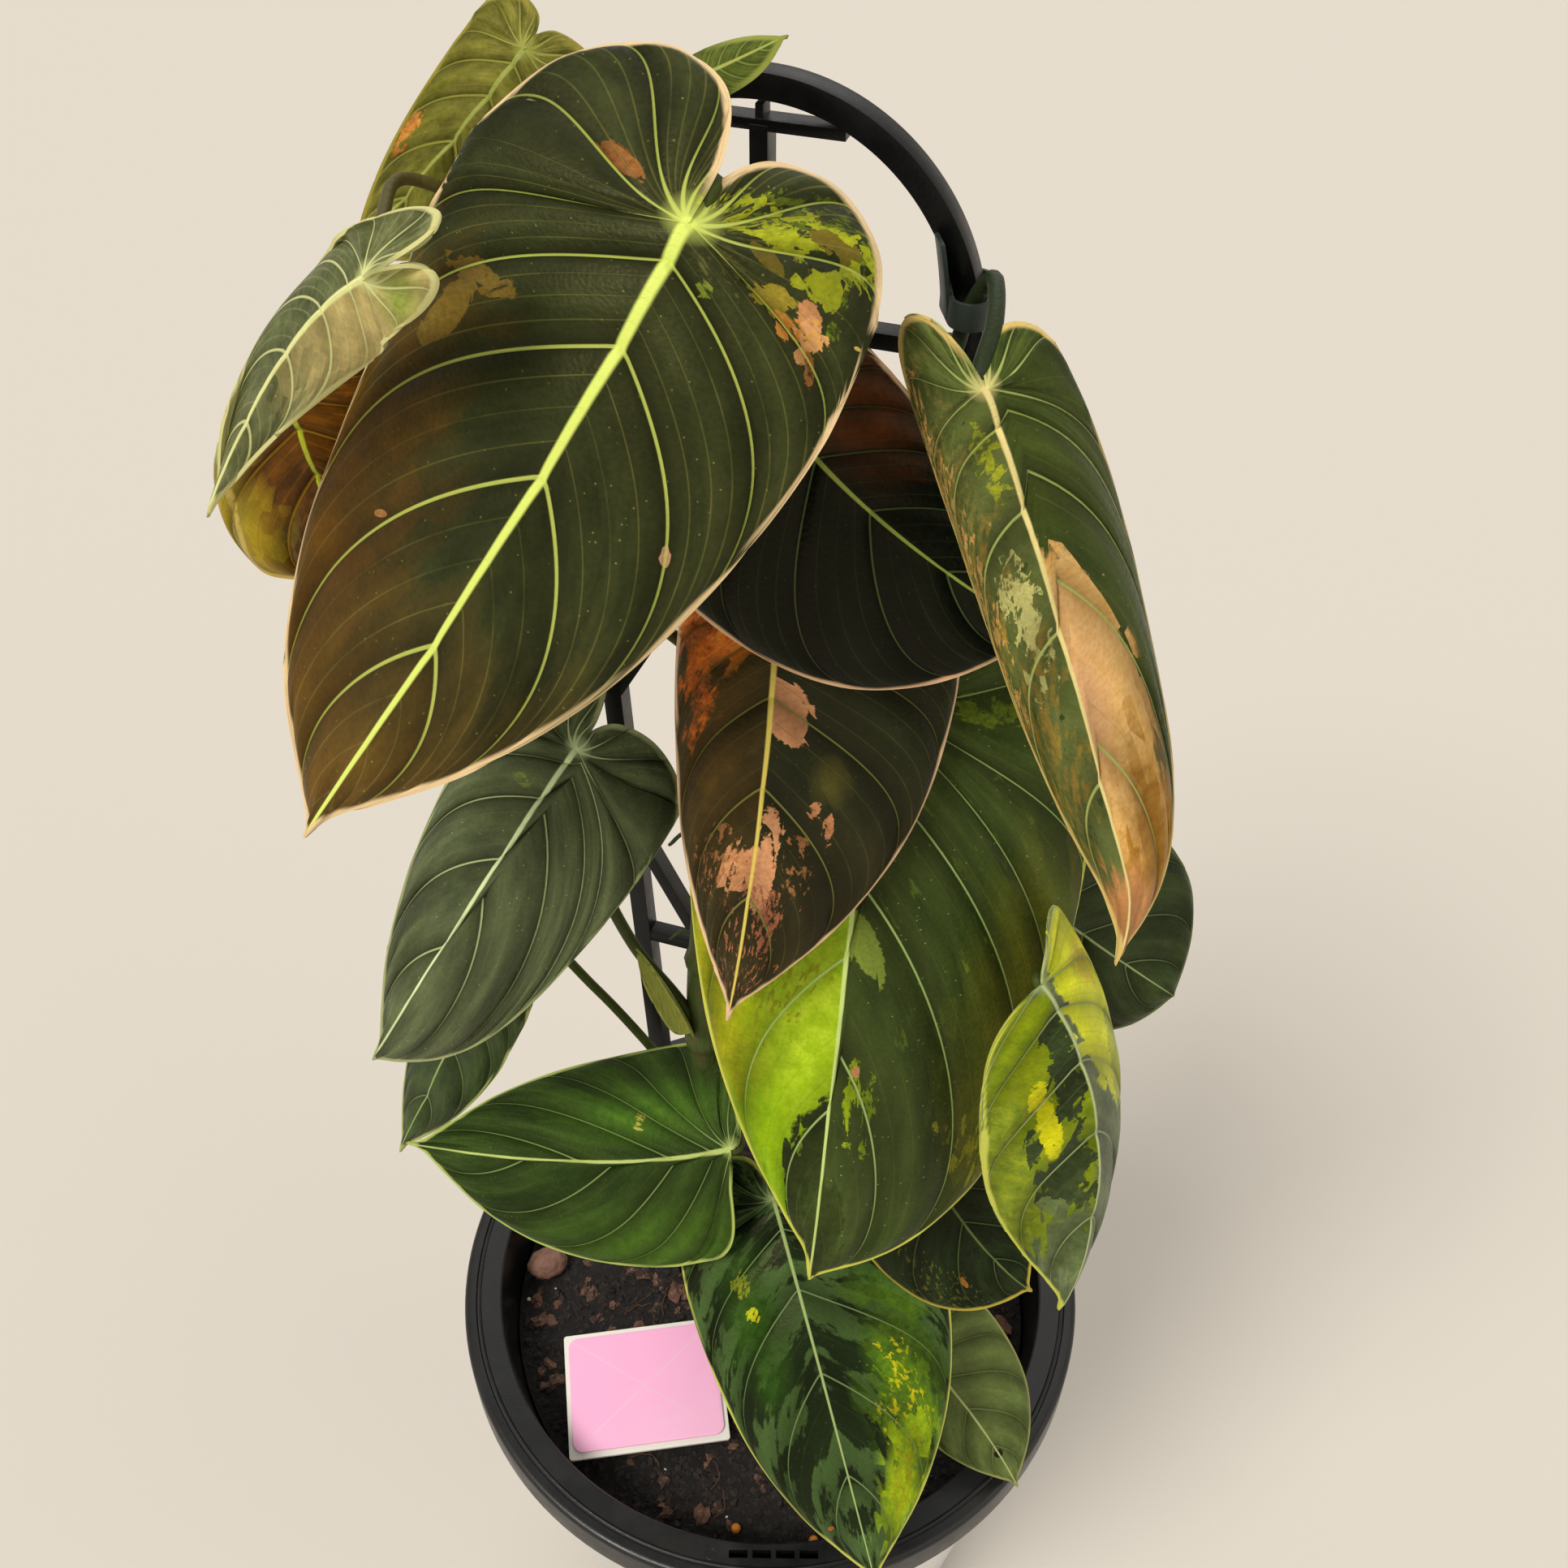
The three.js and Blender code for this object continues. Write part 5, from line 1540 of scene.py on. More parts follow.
@dataclass
class Trellis:
    """A moulded plastic trellis with an arched top, in one plane that is turned about Z.

    foot, point: height and length of the legs' tips. half_at_foot: from the centre bar to a leg's
    tip. spring: height where the arch starts. diagonals: heights at the legs and the centre bar.
    crest: the small bar in the arch. slimmer: how much less deep the bars are than the frame.
    """

    x: float = -2.0
    turn: float = -17.0
    depth: float = 5.0
    foot: float = 66.0
    point: float = 12.0
    half_at_foot: float = 23.8
    frame_width: float = 4.4
    bar_width: float = 3.2
    spring: float = 532.0
    arch_half: float = 41.0
    arch_rise: float = 44.0
    cross_bars: tuple[float, ...] = (215, 262, 352, 532)
    diagonals: tuple[Pair, ...] = ((434, 498), (393, 316))
    crest: float = 567.4
    crest_half: float = 15.0
    crest_width: float = 1.9
    knob: float = 3.4
    knob_width: float = 1.4
    slimmer: float = 0.6
    arch_steps: int = 72
    round_edge: float = 0.45

    def leg_middle(self, height: float) -> float:
        """How far a leg's middle is from the centre bar at a height."""
        share = (height - self.foot) / (self.spring - self.foot)
        return self.half_at_foot + (self.arch_half - self.frame_width / 2 - self.half_at_foot) * share

    def bar(self, start: Pair, end: Pair, width: float, depth: float) -> Piece:
        """A straight bar.

        Args:
            start: Its start, across and up.
            end: Its end.
            width: Its width in the trellis' plane.
            depth: Its depth.

        Returns:
            The piece.
        """
        run = Vector((end[0] - start[0], 0, end[1] - start[1]))
        middle = Vector((start[0] + end[0], 0, start[1] + end[1])) / 2
        piece = added(bpy.ops.mesh.primitive_cube_add, size=1)
        piece.scale = Vector((width, depth, run.length)) * MM
        piece.rotation_euler = (0, math.atan2(run.x, run.z), 0)
        piece.location = middle * MM
        settle(piece)
        return piece

    def leg(self, side: int) -> Piece:
        """An upright that ends in a point in the mix.

        Args:
            side: -1 and 1 for the outer legs, and 0 for the middle bar.

        Returns:
            The piece.
        """
        top = self.crest if side == 0 else self.spring
        width = self.bar_width if side == 0 else self.frame_width
        low = self.foot + self.point
        piece = added(bpy.ops.mesh.primitive_cube_add, size=1)
        for vertex in piece.data.vertices:
            height = top if vertex.co.z > 0 else low
            across = side * self.leg_middle(height) + math.copysign(width / 2, vertex.co.x)
            deep = math.copysign(self.depth / 2, vertex.co.y)
            vertex.co = Vector((across, deep, height)) * MM
        for face in piece.data.polygons:
            face.select = face.normal.z < -0.5
        for edge in piece.data.edges:
            edge.select = all(piece.data.vertices[i].co.z < (low + 1) * MM for i in edge.vertices)
        for vertex in piece.data.vertices:
            vertex.select = vertex.co.z < (low + 1) * MM
        choose(piece)
        bpy.ops.object.mode_set(mode="EDIT")
        bpy.ops.mesh.extrude_region_move(TRANSFORM_OT_translate={"value": (0, 0, -self.point * MM)})
        tip = (side * self.leg_middle(self.foot) * MM, 0, self.foot * MM)
        bpy.ops.transform.resize(value=(0.04, 1, 1), center_override=tip)
        bpy.ops.object.mode_set(mode="OBJECT")
        return piece

    def arch(self) -> Piece:
        """The arched top, a bent bar.

        Returns:
            The piece.
        """
        turns = np.linspace(0, np.pi, self.arch_steps + 1)
        outer = np.stack([self.arch_half * np.cos(turns), self.arch_rise * np.sin(turns)], -1)
        inner_size = np.array([self.arch_half - self.frame_width, self.arch_rise - self.frame_width])
        inner = np.stack([np.cos(turns), np.sin(turns)], -1) * inner_size
        rows = []
        for deep, edge in ((-1, outer), (1, outer), (1, inner), (-1, inner), (-1, outer)):
            across = np.full(len(turns), deep * self.depth / 2)
            rows.append(np.stack([edge[:, 0], across, edge[:, 1] + self.spring], -1))
        piece = laid_grid("arch_bar", np.stack(rows, 1) * MM)
        tidy(piece)
        with editing(piece):
            bpy.ops.mesh.fill_holes(sides=0)
            bpy.ops.mesh.normals_make_consistent(inside=False)
        return piece

    def build(self) -> None:
        """Builds the trellis."""
        whole = self.arch()
        bars = [self.leg(side) for side in (-1, 0, 1)]
        slim = self.depth - self.slimmer
        for height in self.cross_bars:
            reach = self.leg_middle(height)
            bars.append(self.bar((-reach, height), (reach, height), self.bar_width, slim))
        for start, middle in self.diagonals:
            for side in (-1, 1):
                from_leg = (side * self.leg_middle(start), start)
                bars.append(self.bar(from_leg, (0, middle), self.bar_width, slim))
        left, right = (-self.crest_half, self.crest), (self.crest_half, self.crest)
        bars.append(self.bar(left, right, self.crest_width, slim))
        bars.append(self.bar((0, self.crest), (0, self.crest + self.knob), self.knob_width, slim - 0.4))
        for bar in bars:
            shape(whole, "BOOLEAN", object=bar, operation="UNION", solver="EXACT")
            bpy.data.objects.remove(bar)
        shape(whole, "BEVEL", width=self.round_edge * MM, segments=2, limit_method="ANGLE",
              angle_limit=math.radians(50))
        whole.rotation_euler = (0, 0, math.radians(self.turn))
        whole.location = (self.x * MM, 0, 0)
        settle(whole)
        smooth(whole, 35)
        trellis = joined([whole], "arched_trellis")
        plastic = Moulded("black_polypropylene_trellis", "#060607", "#16171a", roughness=0.34, shine=0.3)
        dress(trellis, [plastic.make()])
        belongs(trellis, "trellis", "trellis")


# Pots


@dataclass
class Pots:
    """A black nursery pot that hangs by its rim in a glossy grey cover pot.

    groove_half: the groove's half widths at its bottom and top. slot_place: middle of the row of
    slots in the rim. marks: azimuths of the ring-shaped moulding marks on it.
    """

    rim_top: float = 195.0
    rim_radius: float = 100.0
    rim_bore: float = 88.0
    rim_thick: float = 2.4
    rim_round: float = 1.8
    groove: float = 95.4
    groove_half: Pair = (0.5, 0.9)
    groove_deep: float = 0.8
    skirt_drop: float = 12.0
    skirt_wall: float = 2.0
    wall: float = 1.8
    foot: float = 10.0
    floor: float = 2.0
    foot_radius: float = 64.0
    drains: int = 6
    drain_radius: float = 5.0
    drain_circle: float = 44.0
    drain_cut: float = 8.0
    slots: int = 4
    slot_size: Pair = (5.4, 2.2)
    slot_pitch: float = 6.8
    slot_place: Pair = (2.0, -91.1)
    marks: Pair = (-100.0, -38.0)
    mark_circle: float = 92.6
    mark_radius: float = 1.5
    mark_raised: float = 0.22
    cover_foot: float = 70.0
    cover_top: float = 95.0
    cover_wall: float = 2.6
    cover_floor: float = 4.0
    gap: float = 0.3
    steps: int = 144

    def nursery_radius(self, height: float) -> float:
        """The nursery pot's outer radius at a height."""
        share = (height - self.foot) / (self.rim_top - self.foot)
        return self.foot_radius + (self.rim_bore + self.wall - self.foot_radius) * share

    def round_pot(self, azimuth: float, radius: float) -> Pair:
        """The place at an azimuth in degrees and at a distance from the axis."""
        turn = math.radians(azimuth)
        return radius * math.cos(turn), radius * math.sin(turn)

    def cut(self, piece: Piece, tool: Piece) -> None:
        """Cuts a tool's shape out of a piece, and removes the tool."""
        shape(piece, "BOOLEAN", object=tool, operation="DIFFERENCE", solver="EXACT")
        bpy.data.objects.remove(tool)

    def nursery(self) -> None:
        """Builds the nursery pot."""
        under = self.rim_top - self.rim_thick
        skirt = self.rim_top - self.skirt_drop
        inside = self.foot + self.floor
        lip = [
            (self.rim_radius - self.rim_round * (1 - math.cos(a)),
             self.rim_top - self.rim_round * (1 - math.sin(a)))
            for a in np.linspace(0, math.pi / 2, 6)
        ]
        narrow, wide = self.groove_half
        deep, deeper = self.rim_top - self.groove_deep * 0.8, self.rim_top - self.groove_deep
        profile = [
            (0, self.foot), (self.foot_radius, self.foot), (self.nursery_radius(under), under),
            (self.rim_radius - self.skirt_wall, under), (self.rim_radius - self.skirt_wall, skirt),
            (self.rim_radius, skirt), *lip,
            (self.groove + wide, self.rim_top), (self.groove + narrow, deep), (self.groove, deeper),
            (self.groove - narrow, deep), (self.groove - wide, self.rim_top),
            (self.rim_bore + 0.5, self.rim_top), (self.rim_bore, self.rim_top - 0.5),
            (self.nursery_radius(inside) - self.wall, inside), (0, inside),
        ]
        pot = turned("nursery_pot_body", profile, self.steps)
        for i in range(self.drains):
            x, y = self.round_pot(360 * i / self.drains, self.drain_circle)
            self.cut(pot, added(
                bpy.ops.mesh.primitive_cylinder_add, vertices=32, radius=self.drain_radius * MM,
                depth=self.drain_cut * MM, location=(x * MM, y * MM, self.foot * MM),
            ))
        x, y = self.slot_place
        for i in range(self.slots):
            place = Vector((x + (i - (self.slots - 1) / 2) * self.slot_pitch, y, self.rim_top)) * MM
            tool = added(bpy.ops.mesh.primitive_cube_add, size=1, location=place)
            tool.scale = (self.slot_size[0] * MM, self.slot_size[1] * MM, 4 * self.rim_thick * MM)
            settle(tool)
            self.cut(pot, tool)
        smooth(pot, 32)
        marks = []
        for azimuth in self.marks:
            x, y = self.round_pot(azimuth, self.mark_circle)
            mark = added(
                bpy.ops.mesh.primitive_torus_add, major_radius=self.mark_radius * MM,
                minor_radius=self.mark_raised * MM, major_segments=28, minor_segments=8,
                location=(x * MM, y * MM, self.rim_top * MM),
            )
            settle(mark)
            smooth(mark, 80)
            marks.append(mark)
        pot = joined([pot, *marks], "black_nursery_pot")
        plastic = Moulded("black_polypropylene_pot", "#0c0d0e", "#34322e", roughness=0.34, scuffed=0.22)
        dress(pot, [plastic.make()])
        belongs(pot, "nursery_pot", "nursery_pot")

    def cover(self) -> None:
        """Builds the cover pot."""
        top = self.rim_top - self.rim_thick - self.gap
        heights = [2.0, *np.linspace(12, top - 1.0, 12)]

        def outer(height: float) -> float:
            """The outer radius at a height."""
            return self.cover_foot + (self.cover_top - self.cover_foot) * height / top

        profile = [(0, 0), (self.cover_foot - 2, 0), (outer(0.6) - 0.9, 0.6)]
        profile += [(outer(height), height) for height in heights]
        profile += [
            (self.cover_top - 0.4, top), (self.cover_top - self.cover_wall + 0.4, top),
            (self.cover_top - self.cover_wall, top - 0.6),
            (outer(self.cover_floor) - self.cover_wall, self.cover_floor), (0, self.cover_floor),
        ]
        pot = turned("cover_pot_body", profile, self.steps)
        smooth(pot, 32)
        pot = joined([pot], "grey_cover_pot")
        dress(pot, [Glazed().make()])
        belongs(pot, "cover_pot", "cover_pot")

    def build(self) -> None:
        """Builds both pots."""
        self.cover()
        self.nursery()


# Potting mix


@dataclass
class PottingMix:
    """Dark potting mix with bark chips, crumbs, hair-fine roots, fertiliser prills and grit.

    top: height of the surface in the middle. edge_drop: how much lower it is at the pot's wall.
    chips, crumbs, grit, fibres: how many there are. The sizes are least and greatest radii.
    """

    pots: Pots
    top: float = 178.0
    edge_drop: float = 4.0
    rough: float = 1.6
    rings: int = 64
    steps: int = 176
    chips: int = 300
    crumbs: int = 5200
    grit: int = 34
    fibres: int = 110
    chip_sizes: Pair = (1.6, 5.2)
    crumb_sizes: Pair = (0.5, 1.9)
    grit_sizes: Pair = (0.4, 0.9)
    stone_place: Point = (-76, 9, 179.5)
    stone_size: Point = (7, 5.5, 4.2)
    stone_turn: float = 0.4
    prill_radius: float = 1.5
    prills: tuple[Pair, ...] = (
        (-79, 19), (-9.5, -77), (30, -62), (60, -46), (-62, -20), (14, -80), (-36, 30), (48, 22),
        (-12, 52),
    )
    dice: random.Random = field(default_factory=lambda: random.Random(SEED))

    @property
    def radius(self) -> float:
        """The mix's radius at its top edge."""
        return self.pots.nursery_radius(self.top - self.edge_drop) - self.pots.wall - 2 * self.pots.gap

    def height(self, x: float, y: float) -> float:
        """The height of the surface.

        Args:
            x: The place across.
            y: The place along.

        Returns:
            The height in millimetres.
        """
        far = math.hypot(x, y) / self.radius
        lumps = noise.noise(Vector((x, y, 3.0)) / 16.0) + 0.5 * noise.noise(Vector((x, y, 9.0)) / 5.0)
        fine = 0.35 * noise.noise(Vector((x, y, 1.0)) / 1.7)
        return self.top - self.edge_drop * far**6 + self.rough * 0.7 * lumps + fine

    def ground(self) -> None:
        """Builds the body of the mix, with a rough top."""
        floor = self.pots.foot + self.pots.floor + self.pots.gap
        bottom = self.pots.nursery_radius(floor) - self.pots.wall - 2 * self.pots.gap
        profile = [(0, floor), (bottom, floor)]
        profile += [(self.radius * i / self.rings, self.top) for i in range(self.rings, -1, -1)]
        body = turned("potting_mix_body", profile, self.steps)
        for vertex in body.data.vertices:
            x, y, z = vertex.co / MM
            if z > self.top - 1:
                vertex.co.z = self.height(x, y) * MM
        smooth(body, 60)
        body.data.attributes.new("tone", "FLOAT", "POINT")
        body = joined([body], "dark_potting_mix")
        peat = Grains("damp_peat", ("#161312", "#221d1a", "#3a332e"), 2.4, roughness=0.95, relief=1.2)
        dress(body, [peat.make()])
        belongs(body, "potting_mix", "potting_mix")

    def spot(self, inner: float, outer: float) -> Pair:
        """A random place on the surface, between two distances from the middle."""
        turn, square = self.dice.uniform(0, 2 * math.pi), self.dice.uniform(inner**2, outer**2)
        return math.sqrt(square) * math.cos(turn), math.sqrt(square) * math.sin(turn)

    def lump(self, subdivisions: int, jag: float, flat: Point) -> Piece:
        """One jagged grain, to be copied.

        Args:
            subdivisions: How round it starts.
            jag: How far its corners are moved, in radii.
            flat: Its size along each axis, in radii.

        Returns:
            The grain, one metre in radius.
        """
        grain = added(bpy.ops.mesh.primitive_ico_sphere_add, subdivisions=subdivisions, radius=1)
        for vertex in grain.data.vertices:
            shift = 1 + jag * noise.noise(vertex.co * 1.7 + Vector((self.dice.uniform(0, 50), 0, 0)))
            vertex.co = Vector(a * b for a, b in zip(vertex.co * shift, flat))
        return grain

    def scatter(
        self, name: str, grains: Sequence[Piece], count: int, sizes: Pair, sunk: float,
        material: Paint, outer: float | None = None,
    ) -> None:
        """Copies grains over the surface, each copy with its own mesh, and joins them.

        Args:
            name: The piece's name.
            grains: The grains to copy, which are removed.
            count: How many copies.
            sizes: The least and greatest radius in millimetres.
            sunk: How deep a copy lies in the surface, in radii.
            material: Its material.
            outer: The greatest distance from the middle.
        """
        copies = []
        for i in range(count):
            size = sizes[0] + (sizes[1] - sizes[0]) * self.dice.random() ** 2
            x, y = self.spot(6, (outer or self.radius - 1.0) - size)
            mesh = grains[i % len(grains)].data.copy()
            turn = Euler([self.dice.uniform(-0.5, 0.5), self.dice.uniform(-0.5, 0.5),
                          self.dice.uniform(0, 2 * math.pi)])
            low = self.height(x, y) - sunk * size
            place = Matrix.Translation(Vector((x, y, low)) * MM)
            mesh.transform(place @ turn.to_matrix().to_4x4() @ Matrix.Diagonal((size * MM,) * 3 + (1,)))
            tone = mesh.attributes.new("tone", "FLOAT", "POINT")
            tone.data.foreach_set("value", [self.dice.random()] * len(mesh.vertices))
            copy = bpy.data.objects.new(name, mesh)
            bpy.context.collection.objects.link(copy)
            copies.append(copy)
        for grain in grains:
            bpy.data.objects.remove(grain)
        piece = joined(copies, name)
        dress(piece, [material])
        belongs(piece, "potting_mix")

    def fibre(self) -> Piece:
        """One hair-fine root that lies on the surface.

        Returns:
            The piece.
        """
        x, y = self.spot(8, self.radius - 14)
        turn = self.dice.uniform(0, 2 * math.pi)
        path = []
        for _ in range(9):
            path.append((x, y, self.height(x, y) + 0.5 + 0.9 * self.dice.random()))
            turn += self.dice.uniform(-0.7, 0.7)
            x += 1.5 * math.cos(turn)
            y += 1.5 * math.sin(turn)
        path[0] = (*path[0][:2], path[0][2] - 1.6)
        path[-1] = (*path[-1][:2], path[-1][2] - 1.6)
        places = catmull(path, 17)
        return round_bar("fibre_bar", places, np.full(len(places), self.dice.uniform(0.1, 0.2)), 0)

    def stone(self) -> None:
        """Builds the brown-pink stone."""
        stone = added(bpy.ops.mesh.primitive_ico_sphere_add, subdivisions=5, radius=1)
        turn = Matrix.Rotation(self.stone_turn, 3, "Z")
        for vertex in stone.data.vertices:
            way = vertex.co.copy()
            bumps = 0.1 * noise.noise(way * 1.3)
            bumps += 0.05 * noise.noise(way * 3.1) + 0.015 * noise.noise(way * 9)
            scaled = Vector(a * b for a, b in zip(way * (0.97 + bumps), self.stone_size))
            vertex.co = (turn @ scaled + Vector(self.stone_place)) * MM
        smooth(stone, 60)
        tone = stone.data.attributes.new("tone", "FLOAT", "POINT")
        clouds = [0.5 + 0.5 * noise.noise(vertex.co / (3 * MM)) for vertex in stone.data.vertices]
        tone.data.foreach_set("value", clouds)
        stone = joined([stone], "red_brown_stone")
        rock = Grains("rough_red_brown_stone", ("#7a5648", "#8f6c5c", "#5a4038"), 1.4, roughness=0.8,
                      relief=0.3)
        dress(stone, [rock.make()])
        belongs(stone, "stone", "soil_stone")

    def build(self) -> None:
        """Builds the mix and all that lies on it."""
        self.ground()
        self.stone()
        chip = Grains("damp_bark_chips", ("#1a1412", "#664636", "#94725e"), 2.2, 0.85, 0.3)
        grains = [self.lump(2, 0.9, (1, 0.62, 0.42)) for _ in range(6)]
        self.scatter("bark_chips", grains, self.chips, self.chip_sizes, 0.1, chip.make(), self.radius - 2)
        crumb = Grains("peat_crumbs", ("#0e0c0b", "#2a221e", "#4c4038"), 1.0, 0.95, 0.3)
        grains = [self.lump(1, 0.9, (1, 0.8, 0.7)) for _ in range(6)]
        self.scatter("peat_crumbs", grains, self.crumbs, self.crumb_sizes, 0.1, crumb.make())
        perlite = Grains("white_perlite_grit", ("#d8d2c4", "#efeae0", "#b5ad9c"), 0.6, 0.8, 0.1)
        grains = [self.lump(1, 0.6, (1, 0.9, 0.8))]
        self.scatter("perlite_grit", grains, self.grit, self.grit_sizes, -0.1, perlite.make())
        roots = joined([self.fibre() for _ in range(self.fibres)], "root_fibres")
        dry = Bark("dry_root_hair", "#6d5238", "#4a3626", "#8a7050", corky=0.3, roughness=0.8)
        dress(roots, [dry.make()])
        belongs(roots, "potting_mix")
        beads = []
        for x, y in self.prills:
            bead = added(bpy.ops.mesh.primitive_uv_sphere_add, segments=20, ring_count=12,
                         radius=self.prill_radius * MM)
            bead.location = Vector((x, y, self.height(x, y) + 0.8 * self.prill_radius)) * MM
            settle(bead)
            smooth(bead, 60)
            beads.append(bead)
        prills = joined(beads, "fertiliser_prills")
        resin = Moulded("resin_coated_prill", "#c9781e", "#e0a03c", roughness=0.35, grain=0.3,
                        scuff_size=1.2, scuffed=0.8)
        dress(prills, [resin.make()])
        belongs(prills, "potting_mix")


# Tag and tie


@dataclass
class Tag:
    """A white plastic square on the mix, with a bare pink label stuck on it.

    gap: left between the two. cloud, fibre: sizes of the clouds in the label's pale band of painted
    glare, and of the paper's fibres.
    """

    size: Point = (50, 40, 1.2)
    place: Point = (-39.5, -36, 182.6)
    tilt: float = 3.0
    turn: float = 8.5
    label: Point = (47, 36.5, 0.6)
    corner: float = 3.0
    gap: float = 0.3
    cloud: float = 11.0
    fibre: float = 0.5

    def plate(self, name: str, size: Point, corner: float, low: float, edge: float) -> Piece:
        """A flat plate with rounded corners, lying on the mix.

        Args:
            name: The piece's name.
            size: Its width, depth and thickness.
            corner: The radius of its corners.
            low: The height of its underside over the tag's middle.
            edge: The rounding of its edges.

        Returns:
            The piece.
        """
        piece = added(bpy.ops.mesh.primitive_cube_add, size=1)
        piece.name = name
        piece.scale = Vector(size) * MM
        piece.location = (0, 0, (low + size[2] / 2) * MM)
        settle(piece)
        heights = [[piece.data.vertices[i].co.z for i in edge.vertices] for edge in piece.data.edges]
        weights = piece.data.attributes.new("bevel_weight_edge", "FLOAT", "EDGE")
        weights.data.foreach_set("value", [float(abs(a - b) > 1e-6) for a, b in heights])
        shape(piece, "BEVEL", width=corner * MM, segments=8, limit_method="WEIGHT")
        shape(piece, "BEVEL", width=edge * MM, segments=2, limit_method="ANGLE",
              angle_limit=math.radians(60))
        piece.matrix_world = (
            Matrix.Translation(Vector(self.place) * MM)
            @ Euler((math.radians(self.tilt), 0, math.radians(self.turn))).to_matrix().to_4x4()
        )
        settle(piece)
        smooth(piece, 40)
        return piece

    def paper(self) -> Paint:
        """The label's paper: matt pink with paler creases from its corners and a pale band of painted
        glare on the slant, and nothing written on it.

        Returns:
            The material.
        """
        paper = Surface("matt_pink_label_paper")
        add = paper.add
        place = add("TexCoord").node.outputs["Object"]
        middle = Vector(self.place) * MM
        turn = (0.0, 0.0, math.radians(self.turn))
        half = (self.label[0] / 2 * MM, self.label[1] / 2 * MM, 1)
        own = add("Mapping", [place, middle, turn, half], vector_type="TEXTURE")
        across, along, _ = add("SeparateXYZ", [own]).node.outputs
        wide = add("Math", [across], operation="ABSOLUTE")
        deep = add("Math", [along], operation="ABSOLUTE")
        crease = add("Math", [wide, deep], operation="SUBTRACT")
        crease = add("Math", [crease], operation="ABSOLUTE")
        line = add("MapRange", [crease, 0.0, 0.035, 0.5, 0.0])
        # A pale band of painted glare lies across the label on the slant, broken up by clouds
        cloud = add("TexNoise", {"Vector": place, "Scale": 1 / (self.cloud * MM), "Detail": 4.0})
        slant = add("Math", [across, along], operation="SUBTRACT")
        pale = add("Math", [cloud, 2.0, slant], operation="MULTIPLY_ADD")
        pale = add("MapRange", [pale, 1.0, 2.2, 0.0, 0.3])
        base = add("Mix", [pale, "#ffb8e0", "#ffd2ec"])
        base = add("Mix", [line, base, "#f6cfdd"])
        fibre = add("TexNoise", {"Vector": place, "Scale": 1 / (self.fibre * MM), "Detail": 3.0})
        paper.finish({"Base Color": base, "Roughness": 0.55}, fibre, 0.04)
        return paper.material

    def build(self) -> None:
        """Builds the tag and its label."""
        tag = self.plate("white_plant_tag", self.size, 1.0, -self.size[2] / 2, 0.25)
        dress(tag, [Moulded("white_polystyrene_tag", "#efece4", "#d6d0c4", roughness=0.4).make()])
        belongs(tag, "tag", "plant_tag")
        label = self.plate("pink_label", self.label, self.corner, self.size[2] / 2 + self.gap, 0.15)
        dress(label, [self.paper()])
        belongs(label, "label", "tag_label")


@dataclass
class Tie:
    """A flat strap round the arch and the petiole beside it, with a free end that stands up.

    stalk: where the petiole stands. stalk_radius, arch_radius: of the rounds that it is laid
    about. tail, lean: length of the free end, and degrees that it leans out.
    """

    trellis: Trellis
    height: float = 542.5
    tall: float = 5.0
    strap: float = 0.9
    stalk: Pair = (33.4, -16.8)
    stalk_radius: float = 2.9
    arch_radius: float = 4.3
    tail: float = 14.0
    lean: float = 8.0

    def build(self) -> None:
        """Builds the tie."""
        frame_half = self.trellis.frame_width / 2
        climb = (self.height - self.trellis.spring) / (self.trellis.arch_rise - frame_half)
        reach = (self.trellis.arch_half - frame_half) * math.sqrt(1 - climb**2)
        turn = math.radians(self.trellis.turn)
        arch = np.array([reach * math.cos(turn) + self.trellis.x, reach * math.sin(turn)])
        stalk = np.array(self.stalk)
        apart = stalk - arch
        heading = math.atan2(apart[1], apart[0])
        spread = math.acos((self.arch_radius - self.stalk_radius) / np.linalg.norm(apart))
        line = []
        for centre, radius, start, end in (
            (stalk, self.stalk_radius, heading - spread, heading + spread),
            (arch, self.arch_radius, heading + spread, heading - spread + 2 * math.pi),
        ):
            for angle in np.linspace(start, end, 30):
                way = np.array([math.cos(angle), math.sin(angle)])
                line.append(centre + (radius + self.strap / 2) * way)
        line.append(line[0])
        low, high = self.height - self.tall / 2, self.height + self.tall / 2
        rows = [[(*place, low), (*place, self.height), (*place, high)] for place in line]
        loop = laid_grid("tie_loop", np.array(rows) * MM)
        tidy(loop)
        shape(loop, "SOLIDIFY", thickness=(self.strap - 0.1) * MM, offset=0.0)
        facing = heading - spread
        away = np.array([math.cos(facing), math.sin(facing)])
        side = np.array([-away[1], away[0]])
        seat = arch + 0.5 * apart + (self.arch_radius + self.stalk_radius + self.strap) / 2 * away
        rows = []
        for rise in np.linspace(0, self.tail, 15):
            out = math.sin(math.radians(self.lean)) * rise * (0.6 + 0.5 * rise / self.tail)
            middle = seat + away * out
            rows.append([
                (*(middle + side * wide), low + rise) for wide in (-self.tall / 2, 0, self.tall / 2)
            ])
        end = laid_grid("tie_end", np.array(rows) * MM)
        shape(end, "SOLIDIFY", thickness=(self.strap - 0.1) * MM, offset=0.0)
        tie = joined([loop, end], "green_plant_tie")
        shape(tie, "BEVEL", width=0.15 * MM, segments=2, limit_method="ANGLE",
              angle_limit=math.radians(50))
        smooth(tie, 40)
        vinyl = Moulded("soft_green_vinyl_tie", "#1f2a26", "#3f4f46", roughness=0.5, grain=0.4,
                        scuff_size=6.0)
        dress(tie, [vinyl.make()])
        belongs(tie, "plant_tie", "plant_tie")


# Stage


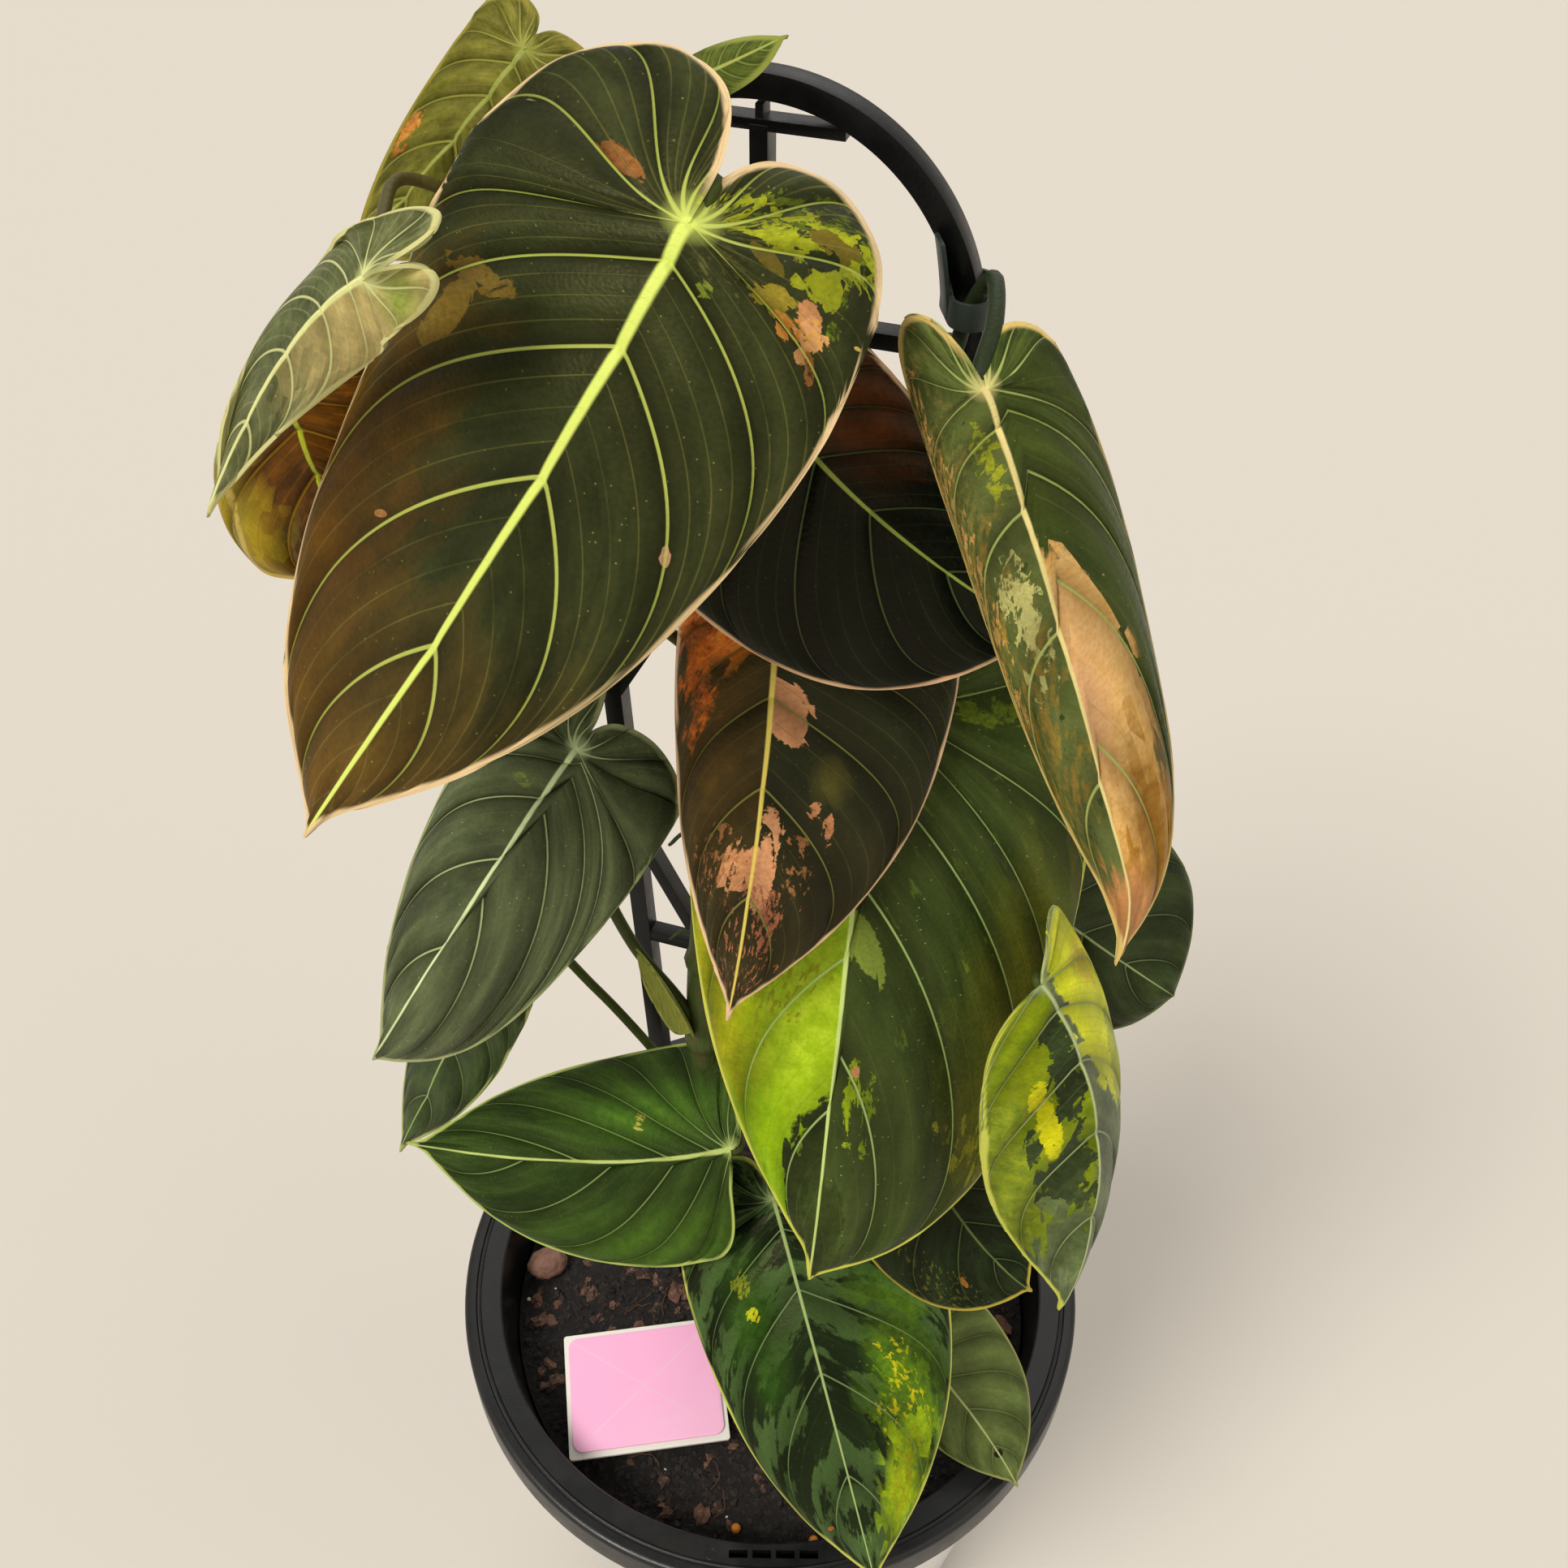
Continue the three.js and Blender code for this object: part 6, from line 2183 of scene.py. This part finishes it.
@dataclass
class Studio:
    """A plain pale floor, soft light and the camera.

    suns: each light's name, where it comes from, how wide it looks, its strength and its colour.
    """

    camera_place: Point = (2.7, -266.0, 668.0)
    pitch: float = 43.6
    roll: float = 0.6
    lens: float = 36.09
    floor_size: float = 40.0
    floor_colour: str = "#d1cbc3"
    sky: str = "#f6f1e6"
    sky_strength: float = 0.58
    suns: tuple = (
        ("window_left", (-0.9, -0.9, 1.5), 24, 2.15, "#fffaf2"),
        ("window_right", (1.3, -0.5, 1.0), 50, 0.4, "#fffaf2"),
        ("window_back", (0.2, 1.3, 1.2), 50, 0.5, "#ffffff"),
    )

    def build(self) -> None:
        """Builds the floor, the lights and the camera."""
        floor = added(bpy.ops.mesh.primitive_grid_add, x_subdivisions=8, y_subdivisions=8,
                      size=self.floor_size)
        floor.name = "studio_floor"
        paint = Surface("matt_pale_floor")
        paint.finish({"Base Color": self.floor_colour, "Roughness": 0.8})
        dress(floor, [paint.material])

        world = bpy.data.worlds.new("soft_sky")
        bpy.context.scene.world = world
        world.use_nodes = True
        sky = world.node_tree.nodes["Background"].inputs
        sky["Color"].default_value = linear(self.sky)
        sky["Strength"].default_value = self.sky_strength
        for name, way, spread, strength, colour in self.suns:
            data = bpy.data.lights.new(name, "SUN")
            data.angle = math.radians(spread)
            data.energy = strength
            data.color = linear(colour)[:3]
            light = bpy.data.objects.new(name, data)
            bpy.context.scene.collection.objects.link(light)
            light.rotation_euler = (-Vector(way)).to_track_quat("-Z", "Y").to_euler()

        data = bpy.data.cameras.new("camera")
        data.lens = self.lens
        data.sensor_width = 36.0
        data.clip_start = 0.01
        camera = bpy.data.objects.new("camera", data)
        bpy.context.scene.collection.objects.link(camera)
        camera.matrix_world = (
            Matrix.Translation(Vector(self.camera_place) * MM)
            @ Matrix.Rotation(math.radians(90 - self.pitch), 4, "X")
            @ Matrix.Rotation(math.radians(self.roll), 4, "Z")
        )
        bpy.context.scene.camera = camera
        bpy.context.scene.view_settings.view_transform = "Standard"


def main() -> None:
    """Builds every sub-assembly in order."""
    logging.basicConfig(level=logging.INFO, format="%(message)s")
    pots = Pots()
    trellis = Trellis()
    pots.build()
    PottingMix(pots).build()
    trellis.build()
    Plant().build()
    Tie(trellis).build()
    Tag().build()
    Studio().build()


if __name__ == "__main__":
    main()
